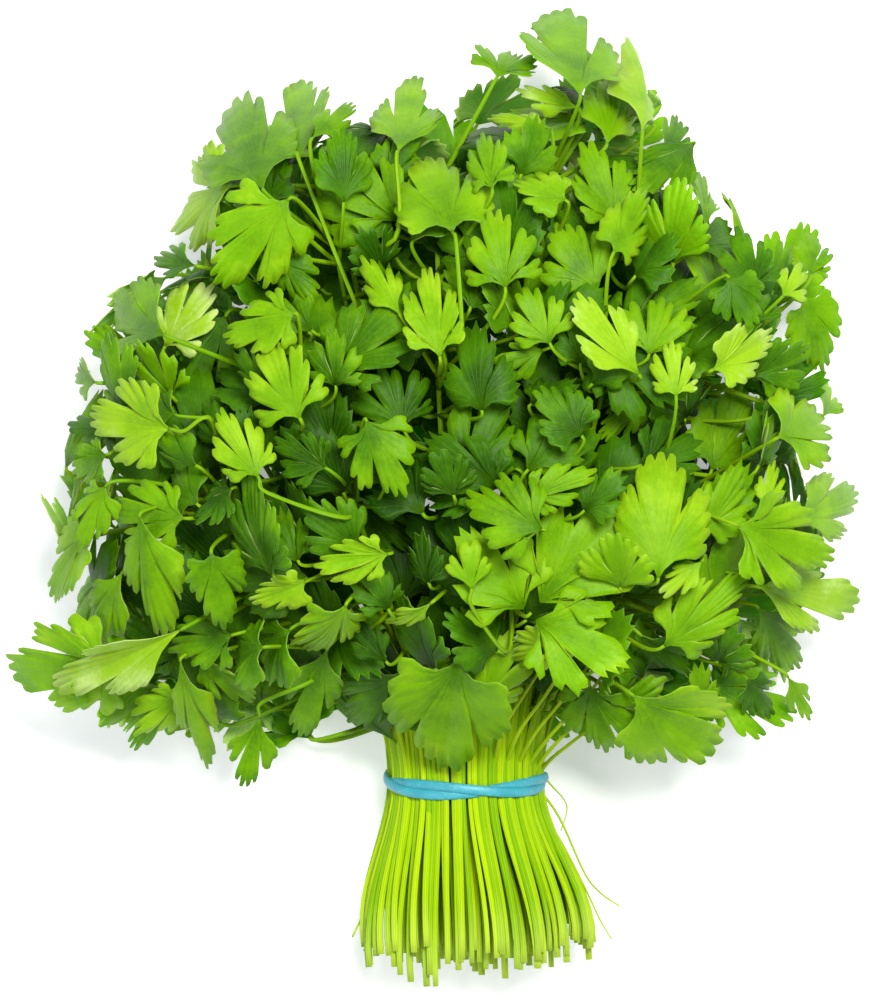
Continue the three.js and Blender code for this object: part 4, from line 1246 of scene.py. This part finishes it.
class Filling:
    """Leaves of the same kind between those of the frame, with painted shade: dark ones inside,
    brighter outside.
    """

    def __init__(self, sprigs, stems):
        places = []
        for index, sprig in enumerate(sprigs):
            for side in (0, 1):
                points, _ = stems[index][MAIN_STRAND[side]]
                for share in STALK_PLACES:
                    at = root_on((points, None), share)
                    ahead = unit(root_on((points, None), share + 0.01) - at)
                    places.append((index, side, share, *at, *ahead))
        self.places = np.array(places)
        self.sprigs = sprigs
        self.load = np.array([len(sprig["leaves"]) for sprig in sprigs], float)
        self.covered = np.zeros((COVER_CELLS, COVER_CELLS), bool)
        self.shown_top = np.full((COVER_CELLS, COVER_CELLS), 1e3)
        self.stalk_top = np.full((COVER_CELLS, COVER_CELLS), 1e3)
        for sprig, strands in zip(sprigs, stems):
            for leaf in sprig["leaves"]:
                samples = leaf_samples(leaf)
                self.cover(samples)
                if leaf.get("shown", False):
                    self.keep_clear(self.shown_top, samples)
                if leaf.get("pixel") in SHOWN_STALKS:
                    stem = strands[MAIN_STRAND[leaf["place"]["side"]]]
                    path = stalk_path(leaf, root_on(stem, leaf["place"]["share"]))
                    self.keep_clear(self.stalk_top, chain_points(path[len(path) // 3 :]))

    def cells(self, points):
        return np.clip(((points[:, :2] - COVER_LOW) / COVER_CELL).astype(int), 0, COVER_CELLS - 1)

    def cover(self, points):
        at = self.cells(points)
        self.covered[at[:, 0], at[:, 1]] = True

    def keep_clear(self, top, points):
        """Marks the cells over which no filling may lie, with the height above which it would."""
        at = self.cells(points)
        np.minimum.at(top, (at[:, 0], at[:, 1]), points[:, 2])

    def hides(self, points):
        at = self.cells(points)
        over_leaf = (points[:, 2] > self.shown_top[at[:, 0], at[:, 1]]).mean()
        over_stalk = (points[:, 2] > self.stalk_top[at[:, 0], at[:, 1]]).mean()
        return over_leaf > MOST_HIDING or over_stalk > MOST_HIDING / 8

    def add(self, middle, outward, size, most_shared):
        """Grows a leaf about a middle if it has room there, on the stem that lies best for it."""
        if middle[1] < FILL_FRONT or middle[2] < FILL_LOWEST:
            return False
        stray = rng.uniform(-FILL_TILT, FILL_TILT, 3)
        facing = unit(outward / HEAD_HALF * HEAD_HEIGHT + stray + vector(0, 0, 0.15))
        heading = unit(middle - vector(0, 20, NECK_HEIGHT)) + rng.uniform(-FILL_STRAY, FILL_STRAY, 3)
        heading = unit(heading - facing * float(heading @ facing))
        lobes = TRIPLE_LOBES if size > TRIPLE_FROM else SINGLE_LOBES
        base = middle - heading * size * BEHIND_MIDDLE
        tip = middle + heading * size * (1 - BEHIND_MIDDLE)
        if base[2] < 1 or tip[2] < 0.8:
            return False
        across = unit(np.cross(heading, facing))
        probes = middle + heading * (rng.uniform(-0.4, 0.5, (PROBES, 1)) * size)
        probes = probes + across * (rng.uniform(-0.4, 0.4, (PROBES, 1)) * size)
        if voxels.share_full(probes) > MOST_PROBED:
            return False
        leaf = dict(
            base=base,
            heading=heading,
            across=across,
            normal=np.cross(across, heading),
            length=size,
            width=size * (TRIPLE_WIDTH if lobes is TRIPLE_LOBES else rng.uniform(*FILL_WIDTH)),
            lobes=lobes,
            lowest=0.4,
            arch=rng.uniform(*FILL_ARCH),
            cup=rng.uniform(*FILL_CUP),
            twist=rng.uniform(*FILL_TWIST),
        )
        # Painted shade: the deeper below the head's top and the nearer its middle, the darker the tone;
        # low leaves at the head's edge stay lighter.
        below = head_top(middle[0], middle[1]) - middle[2]
        edge = min(1.0, photo_reach(middle))
        shade = math.exp(-max(0.0, below) / SHADE_DEPTH)
        shade *= SHADE_INSIDE + (1 - SHADE_INSIDE) * edge**2
        if middle[2] < HEAD_CENTRE[2]:
            shade = max(shade, SIDE_SHADE * min(1.0, max(0.0, (edge - SIDE_FROM) / SIDE_RANGE)))
        leaf["fine"] = shade > FINE_SHADE
        darkest, gain, spread = FILL_TONE
        dress(leaf, darkest + gain * shade + rng.uniform(*spread))
        leaf["grow"] = 1.0
        samples = leaf_samples(leaf)
        if reach_beyond(samples) > FILL_REACH or in_gap(samples) or covers_fan(samples):
            return False
        if self.hides(samples) or voxels.share_full(samples) > most_shared:
            return False
        places = self.places
        away = base - places[:, 3:6]
        distance = np.linalg.norm(away, axis=1)
        away /= distance[:, None]
        forward = (away * places[:, 6:9]).sum(1)
        cost = distance * (1.5 - 0.5 * forward) + FULL_STEM_COST * self.load[places[:, 0].astype(int)]
        cost[(distance < FILL_STALK[0]) | (distance > FILL_STALK[1])] = NO_PLACE
        cost[(forward < MOST_BACKWARD) | (away @ heading < MOST_FOLDED)] = NO_PLACE
        best = int(np.argmin(cost))
        if cost[best] == NO_PLACE:
            return False
        index, side, share = int(places[best, 0]), int(places[best, 1]), places[best, 2]
        leaf["root"] = places[best, 3:6]
        leaf["stalk"] = float(distance[best])
        leaf["place"] = dict(sprig=index, side=side, share=share)
        voxels.fill(samples)
        self.cover(samples)
        self.sprigs[index]["leaves"].append(leaf)
        self.load[index] += 1
        return True

    def add_layers(self):
        grown = 0
        for attempt in range(FILL_TRIES):
            if grown == MOST_GROWN:
                break
            level = FILL_LEVELS[attempt % len(FILL_LEVELS)]
            low, high, depth_low, depth_high, size_low, size_high = level
            turn = rng.uniform(0, 2 * math.pi)
            climb = math.radians(rng.uniform(low, high))
            ahead = vector(math.cos(turn), math.sin(turn), 0)
            outward = ahead * math.cos(climb) + vector(0, 0, math.sin(climb))
            depth = rng.uniform(depth_low, depth_high)
            middle = inside_head(outward, depth)
            if low > STEEP_CLIMB:
                away = head_reach(ahead[0], ahead[1]) * rng.uniform(0, 1) ** 0.5 * TOP_REACH
                middle = HEAD_CENTRE + ahead * away
                middle[2] = head_top(middle[0], middle[1]) - depth
                outward = unit(vector(*(middle[:2] - HEAD_CENTRE[:2]) / HEAD_HALF[0], 1.1))
            grown += self.add(middle, outward, rng.uniform(size_low, size_high), MOST_SHARED)

    def close_gaps(self):
        """Leaves deep in the head wherever nothing lies between its top and the surface below."""
        for at in np.argwhere(~self.covered):
            x, y = COVER_LOW + (at + 0.5) * COVER_CELL
            if photo_reach((x, y)) > COVER_REACH or y < COVER_FRONT:
                continue
            for _ in range(COVER_TRIES):
                if self.covered[at[0], at[1]]:
                    break
                aside = rng.uniform(-COVER_STRAY, COVER_STRAY, 2)
                height = rng.uniform(COVER_LOWEST, head_top(x, y) - COVER_DEPTH)
                outward = unit(vector(*rng.uniform(-COVER_TILT, COVER_TILT, 2), 1))
                middle = vector(x + aside[0], y + aside[1], height)
                self.add(middle, outward, rng.uniform(*COVER_SIZE), COVER_SHARED)


def node_group(name, roughness, build):
    """A material whose tree is filled by build, with its shader."""
    material = bpy.data.materials.new(name)
    material.use_nodes = True
    tree = material.node_tree
    shader = tree.nodes["Principled BSDF"]
    shader.inputs["Roughness"].default_value = roughness
    build(tree, shader)
    return material


class Graph:
    """Short ways to place and link nodes."""

    def __init__(self, tree):
        self.tree = tree

    def node(self, kind, **values):
        made = self.tree.nodes.new(kind)
        for key, value in values.items():
            setattr(made, key, value)
        return made

    def link(self, source, target):
        self.tree.links.new(source, target)

    def put(self, socket, value):
        if isinstance(value, bpy.types.NodeSocket):
            self.link(value, socket)
        elif isinstance(value, tuple) and len(value) == 3 and socket.type == "RGBA":
            socket.default_value = (*value, 1)
        else:
            socket.default_value = value

    def attribute(self, name):
        made = self.node("ShaderNodeAttribute", attribute_name=name)
        parts = self.node("ShaderNodeSeparateXYZ")
        self.link(made.outputs["Vector"], parts.inputs[0])
        return parts.outputs

    def math(self, operation, a, b=0.0, c=0.0):
        made = self.node("ShaderNodeMath", operation=operation)
        self.put(made.inputs[0], a)
        self.put(made.inputs[1], b)
        self.put(made.inputs[2], c)
        return made.outputs[0]

    def vary(self, value, middle, gain, base):
        return self.math("MULTIPLY_ADD", self.math("SUBTRACT", value, middle), gain, base)

    def ramp(self, value, low, high, start=0.0, end=1.0):
        made = self.node("ShaderNodeMapRange", interpolation_type="SMOOTHSTEP")
        self.put(made.inputs["Value"], value)
        self.put(made.inputs["From Min"], low)
        self.put(made.inputs["From Max"], high)
        self.put(made.inputs["To Min"], start)
        self.put(made.inputs["To Max"], end)
        return made.outputs["Result"]

    def mix(self, share, a, b, how="MIX"):
        made = self.node("ShaderNodeMix", data_type="RGBA", blend_type=how)
        self.put(made.inputs["Factor"], share)
        self.put(made.inputs[6], a)
        self.put(made.inputs[7], b)
        return made.outputs[2]

    def noise(self, scale, detail=3.0, vector=None):
        made = self.node("ShaderNodeTexNoise")
        made.inputs["Scale"].default_value = scale
        made.inputs["Detail"].default_value = detail
        if vector is not None:
            self.link(vector, made.inputs["Vector"])
        return made.outputs["Fac"]

    def bump(self, height, strength, distance, before=None):
        made = self.node("ShaderNodeBump")
        made.inputs["Strength"].default_value = strength
        made.inputs["Distance"].default_value = distance
        self.link(height, made.inputs["Height"])
        if before is not None:
            self.link(before, made.inputs["Normal"])
        return made.outputs["Normal"]


# The greens of a leaf from its darkest to its palest, and the veins of its underside. The darkest
# mostly colour leaves with painted shade deep in the head; the palest tints the underside and is a
# painted sheen on the palest top sides.
DARK, DEEP, MID, LIGHT, PALE_AND_SHEEN, UNDER_VEIN = (
    (0.012, 0.056, 0.0002),
    (0.042, 0.14, 0.0003),
    (0.135, 0.31, 0.0006),
    (0.24, 0.43, 0.008),
    (0.44, 0.6, 0.18),
    (0.42, 0.62, 0.22),
)

# Between each two greens the shade runs from one number to the other.
# The last step, to the palest green, gives the palest top sides a painted sheen.
SHADE_STEPS = [(0.0, 0.3, DEEP), (0.22, 0.55, MID), (0.5, 0.75, LIGHT), (0.74, 1.02, PALE_AND_SHEEN)]

# The millimetres between a leaf's fine veins, and the slope at which they leave the main ones.
VEIN_PITCH = 2.6
VEIN_SLOPE = -1.15

# The stems' two greens, then the colours towards the cut end, the leaves and along the ridges.
STEM_DARK, STEM_BRIGHT = (0.16, 0.36, 0.0006), (0.37, 0.56, 0.001)
STEM_CUT, STEM_TOP, STEM_RIDGE = (0.5, 0.62, 0.1), (0.1, 0.27, 0.002), (0.45, 0.64, 0.05)
STEM_RIDGES = 6
RUBBER_DARK, RUBBER_BRIGHT, RUBBER_DUST = (0.012, 0.2, 0.28), (0.06, 0.42, 0.5), (0.25, 0.62, 0.66)
FLOOR_DARK, FLOOR_BRIGHT, FLOOR_GLOW = (0.86, 0.87, 0.88), (0.9, 0.9, 0.9), (0.93, 0.96, 1.0)


def build_leaf(tree, shader):
    g = Graph(tree)
    place = g.node("ShaderNodeTexCoord").outputs["Object"]
    side, radial, share = g.attribute("chart")
    tone, under, mark = g.attribute("look")
    blotch = g.noise(90, 3, place)
    grain = g.noise(900, 3, place)

    # The main veins run along the teeth, and finer ones leave them on both sides.
    away = g.math("ABSOLUTE", side)
    main = g.ramp(away, g.math("MULTIPLY_ADD", share, -0.12, 0.4), 0.1, 0, 1)
    bent = g.math("MULTIPLY_ADD", grain, 0.5, g.math("MULTIPLY_ADD", away, VEIN_SLOPE, radial))
    beat = g.math("FRACT", g.math("DIVIDE", bent, VEIN_PITCH))
    fine = g.ramp(g.math("ABSOLUTE", g.math("SUBTRACT", beat, 0.5)), 0.07, 0.0, 0, 1)
    fine = g.math("MULTIPLY", fine, g.ramp(away, 3.2, 0.8, 0.25, 1))
    vein = g.math("MAXIMUM", main, g.math("MULTIPLY", fine, 0.45))

    # A blade is darker at its base and paler towards its edge, a painted shade, and each has spots and
    # a tone of its own.
    shade = tone
    causes = [(blotch, 0.5, 0.55), (share, 0.6, 0.24), (grain, 0.5, 0.16), (mark, 0.5, 0.16)]
    for value, middle, gain in causes:
        shade = g.vary(value, middle, gain, shade)
    colour = DARK
    for low, high, green in SHADE_STEPS:
        colour = g.mix(g.ramp(shade, low, high), colour, green)
    colour = g.mix(g.math("MULTIPLY", vein, 0.08), colour, LIGHT)
    back = g.mix(0.55, colour, PALE_AND_SHEEN)
    back = g.mix(g.math("MULTIPLY", vein, 0.35), back, UNDER_VEIN)
    colour = g.mix(under, colour, back)
    g.link(colour, shader.inputs["Base Color"])
    rough = g.math("MULTIPLY_ADD", blotch, 0.22, 0.36)
    rough = g.math("MULTIPLY_ADD", under, 0.2, rough)
    g.link(rough, shader.inputs["Roughness"])
    height = g.math("MULTIPLY_ADD", vein, -0.2, g.math("MULTIPLY", g.noise(260, 2, place), 1.0))
    normal = g.bump(height, 0.45, 0.0005)
    normal = g.bump(grain, 0.25, 0.0002, normal)
    g.link(normal, shader.inputs["Normal"])
    shader.inputs["Subsurface Weight"].default_value = 0.25
    shader.inputs["Subsurface Radius"].default_value = (0.4, 1.0, 0.1)
    shader.inputs["Subsurface Scale"].default_value = 0.002
    shader.inputs["Specular IOR Level"].default_value = 0.1


def build_stem(tree, shader):
    g = Graph(tree)
    place = g.node("ShaderNodeTexCoord").outputs["Object"]
    turn, _, _ = g.attribute("chart")
    along, _, mark = g.attribute("look")
    blotch = g.noise(120, 3, place)
    ridges = g.math("SINE", g.math("MULTIPLY", turn, 2 * math.pi * STEM_RIDGES))
    shade = g.vary(blotch, 0.5, 0.5, mark)
    colour = g.mix(shade, STEM_DARK, STEM_BRIGHT)
    colour = g.mix(g.ramp(along, 0.1, 0.0, 0, 0.4), colour, STEM_CUT)
    colour = g.mix(g.ramp(along, 0.45, 1.0, 0, 0.7), colour, STEM_TOP)
    colour = g.mix(g.ramp(ridges, 0.2, 1.0, 0, 0.16), colour, STEM_RIDGE)
    g.link(colour, shader.inputs["Base Color"])
    g.link(g.math("MULTIPLY_ADD", blotch, 0.25, 0.28), shader.inputs["Roughness"])
    normal = g.bump(ridges, 0.35, 0.0003)
    normal = g.bump(g.noise(700, 3, place), 0.2, 0.0003, normal)
    g.link(normal, shader.inputs["Normal"])
    shader.inputs["Specular IOR Level"].default_value = 0.08


def build_rubber(tree, shader):
    g = Graph(tree)
    place = g.node("ShaderNodeTexCoord").outputs["Object"]
    blotch = g.noise(160, 4, place)
    grain = g.noise(1500, 3, place)
    colour = g.mix(blotch, RUBBER_DARK, RUBBER_BRIGHT)
    colour = g.mix(g.ramp(grain, 0.5, 0.8, 0, 0.3), colour, RUBBER_DUST)
    g.link(colour, shader.inputs["Base Color"])
    g.link(g.math("MULTIPLY_ADD", blotch, 0.2, 0.32), shader.inputs["Roughness"])
    g.link(g.bump(grain, 0.25, 0.0003), shader.inputs["Normal"])
    shader.inputs["Subsurface Weight"].default_value = 0.1
    shader.inputs["Subsurface Scale"].default_value = 0.001


def build_floor(tree, shader):
    g = Graph(tree)
    place = g.node("ShaderNodeTexCoord").outputs["Object"]
    g.link(g.mix(g.noise(3, 2, place), FLOOR_DARK, FLOOR_BRIGHT), shader.inputs["Base Color"])
    shader.inputs["Emission Color"].default_value = (*FLOOR_GLOW, 1)
    shader.inputs["Emission Strength"].default_value = 0.35


# The band as in the frame's source, and its two strands: half their width and thickness, how far
# they run inwards, and how much they swap in and out and along.
BAND = dict(inner=23.0, oval=0.875, wide=2.7, sway=1.7, slant=2.4, segments=28)
BAND_PHASE = 0.5
BAND_STRAND = dict(wide=1.45, thick=0.7, sides=14, points=144, inward=0.1, swap=0.5, sway=0.8)


def band_lift(angle, direction):
    return direction * BAND["sway"] * math.sin(2 * angle + BAND_PHASE) - BAND["slant"] * math.sin(angle)


def band_origin():
    """Where the middle of the band lies in the frame, from the box of its node."""
    low, high = (np.array(list(corner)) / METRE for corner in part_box("rubber_band"))
    turns = [2 * math.pi * i / BAND["segments"] for i in range(BAND["segments"])]
    lowest = min(
        band_lift(math.atan2(math.cos(t), math.sin(t)), d) for t in turns for d in (-1, 1)
    )
    return vector((low[0] + high[0]) / 2, low[1] - (lowest - BAND["wide"] / 2), 0)


def add_band(piece):
    """Two strands of a doubled band that swap places as they go round the stems."""
    strand = BAND_STRAND
    turns = np.linspace(0, 2 * math.pi, strand["points"] + 1)[:-1]
    for direction in (-1, 1):
        path = []
        for t in turns:
            swap = strand["swap"] * direction * math.cos(2 * t + BAND_PHASE)
            radius = BAND["inner"] - strand["inward"] + swap
            y = band_lift(t, strand["sway"] * direction)
            path.append([radius * math.cos(t), y, radius * math.sin(t) * BAND["oval"] + NECK_HEIGHT])
        add_loop(piece, np.array(path), strand["wide"], strand["thick"], strand["sides"])


def add_loop(piece, path, wide, thick, sides):
    """A closed strand with an oval section, wide along the bunch."""
    count = len(path)
    forward = np.roll(path, -1, axis=0) - np.roll(path, 1, axis=0)
    forward /= np.linalg.norm(forward, axis=1)[:, None]
    lengthwise = vector(0, 1, 0) - forward * forward[:, 1:2]
    lengthwise /= np.linalg.norm(lengthwise, axis=1)[:, None]
    out = np.cross(lengthwise, forward)
    turns = np.linspace(0, 2 * math.pi, sides, endpoint=False)
    points = (
        path[:, None, :]
        + wide * np.cos(turns)[None, :, None] * lengthwise[:, None, :]
        + thick * np.sin(turns)[None, :, None] * out[:, None, :]
    ).reshape(-1, 3)
    i, j = np.meshgrid(np.arange(count), np.arange(sides), indexing="ij")
    i, j = i.ravel(), j.ravel()
    n, m = (j + 1) % sides, (i + 1) % count
    p, q, r, s = i * sides + j, i * sides + n, m * sides + n, m * sides + j
    faces = halved(p, q, r, s)
    a, b, c = points[faces[0]]
    outward = points[faces[0]].mean(0) - path[0]
    if float(np.cross(b - a, c - a) @ outward) < 0:
        faces = faces[:, ::-1]
    rows = np.zeros((faces.size, 3))
    piece.add(points, [(faces, rows, rows, 0, True)])


origin = band_origin()
sprigs = plant()
stems = []
for sprig in sprigs:
    wobbles = rng.uniform(-1, 1, (len(STRANDS), 4)) * STRAND_WOBBLE
    strands = [visible_stem(sprig, number, wobble) for number, wobble in enumerate(wobbles)]
    stems.append(strands)
    for leaf in sprig["leaves"]:
        resting = leaf.get("resting", False)
        dress(leaf, leaf["tone"], 0.0 if resting else 1.0)
        if not leaf.get("shown", False) and in_gap(leaf_samples(leaf)):
            leaf["grow"] = GAP_GROWTH
        voxels.fill(leaf_samples(leaf))
        voxels.fill(chain_points([on_stalk(leaf, t) for t in np.linspace(0, 1, 8)]))
    for points, _ in strands:
        voxels.fill(chain_points(points))
filling = Filling(sprigs, stems)
filling.add_layers()
filling.close_gaps()

materials = [node_group("leaf", 0.45, build_leaf), node_group("stem", 0.4, build_stem)]
for index, sprig in enumerate(sprigs):
    piece = Piece()
    for number, (points, shares) in enumerate(stems[index]):
        thick = rng.uniform(*STRAND_RADIUS)
        taper = np.interp(np.linspace(0, 1, len(points)), *STRAND_TAPER)
        add_tube(piece, points, thick * taper, STRAND_SIDES, shares, rng.uniform(0, 1))
    for number, radius, pixels in LOOSE_STEMS:
        if number == index + 1:
            path = smooth_path([from_pixel(place[:2], place[2]) for place in pixels], LOOSE_POINTS)
            radii = np.linspace(1, 0.6, LOOSE_POINTS) * radius
            along = np.linspace(*LOOSE_TONE, LOOSE_POINTS)
            add_tube(piece, path, radii, STALK_SIDES, along, LOOSE_MARK)
    for leaf in sprig["leaves"]:
        stem = stems[index][MAIN_STRAND[leaf["place"]["side"]]]
        add_stalk(piece, leaf, root_on(stem, leaf["place"]["share"]))
        for leaflet in leaflets_of(leaf):
            fine = leaf.get("shown", False) or leaf.get("fine", False)
            add_leaflet(piece, leaf, leaflet, fine and leaflet[2] > 12)
    made = piece.build(f"sprig_{index + 1:02d}_stems_and_leaves", materials)
    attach(made, "root")
    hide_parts(f"sprig_{index + 1:02d}")
band = Piece()
add_band(band)
band_made = band.build("rubber_band_strands", [node_group("rubber", 0.4, build_rubber)])
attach(band_made, "root")
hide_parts("rubber_band")

# The surface under the bunch, a soft studio light and the camera straight above.
floor_mesh = bpy.data.meshes.new("floor")
FLOOR_HALF = 1.6
FLOOR_DROP = 0.0003
floor_corners = [(FLOOR_HALF * x, FLOOR_HALF * y, 0) for x, y in ((-1, -1), (1, -1), (1, 1), (-1, 1))]
floor_mesh.from_pydata(floor_corners, [], [(0, 1, 2, 3)])
floor_mesh.materials.append(node_group("floor", 0.9, build_floor))
floor = bpy.data.objects.new("floor", floor_mesh)
floor.location.z = -FLOOR_DROP
bpy.context.scene.collection.objects.link(floor)


def area_light(name, place, aim, size, power, colour):
    data = bpy.data.lights.new(name, "AREA")
    data.size = size
    data.energy = power
    data.color = colour
    made = bpy.data.objects.new(name, data)
    made.location = place
    made.rotation_euler = (Vector(aim) - Vector(place)).to_track_quat("-Z", "Y").to_euler()
    bpy.context.scene.collection.objects.link(made)


# Each light's place and aim in metres, its size, its power and its colour.
area_light("key", (0.22, 0.38, 1.3), (0, 0.02, 0.04), 0.4, 26, (1.0, 0.985, 0.94))
area_light("fill", (-0.9, -0.5, 1.1), (0, 0, 0.03), 1.2, 7, (0.97, 0.99, 1.0))

WORLD_COLOUR = (0.97, 0.98, 1.0, 1)
WORLD_STRENGTH = 0.44
world = bpy.data.worlds.new("studio")
world.use_nodes = True
background = world.node_tree.nodes["Background"].inputs
background["Color"].default_value = WORLD_COLOUR
background["Strength"].default_value = WORLD_STRENGTH
bpy.context.scene.world = world
bpy.context.scene.view_settings.view_transform = "Standard"

# The camera looks straight down. Its frame is the photograph's at the height of the head's middle.
camera_data = bpy.data.cameras.new("camera")
camera = bpy.data.objects.new("camera", camera_data)
CAMERA_HEIGHT = 1.6
MIDDLE_HEIGHT = 0.025
SENSOR = 24
tall = IMAGE[1] * MM_PER_PIXEL * METRE
camera_data.sensor_fit = "VERTICAL"
camera_data.sensor_height = SENSOR
camera_data.lens = SENSOR * (CAMERA_HEIGHT - MIDDLE_HEIGHT) / tall
middle = (from_pixel((IMAGE[0] / 2, IMAGE[1] / 2), 0) + origin) * METRE
camera.location = (middle[0], middle[1], CAMERA_HEIGHT)
bpy.context.scene.collection.objects.link(camera)
bpy.context.scene.camera = camera
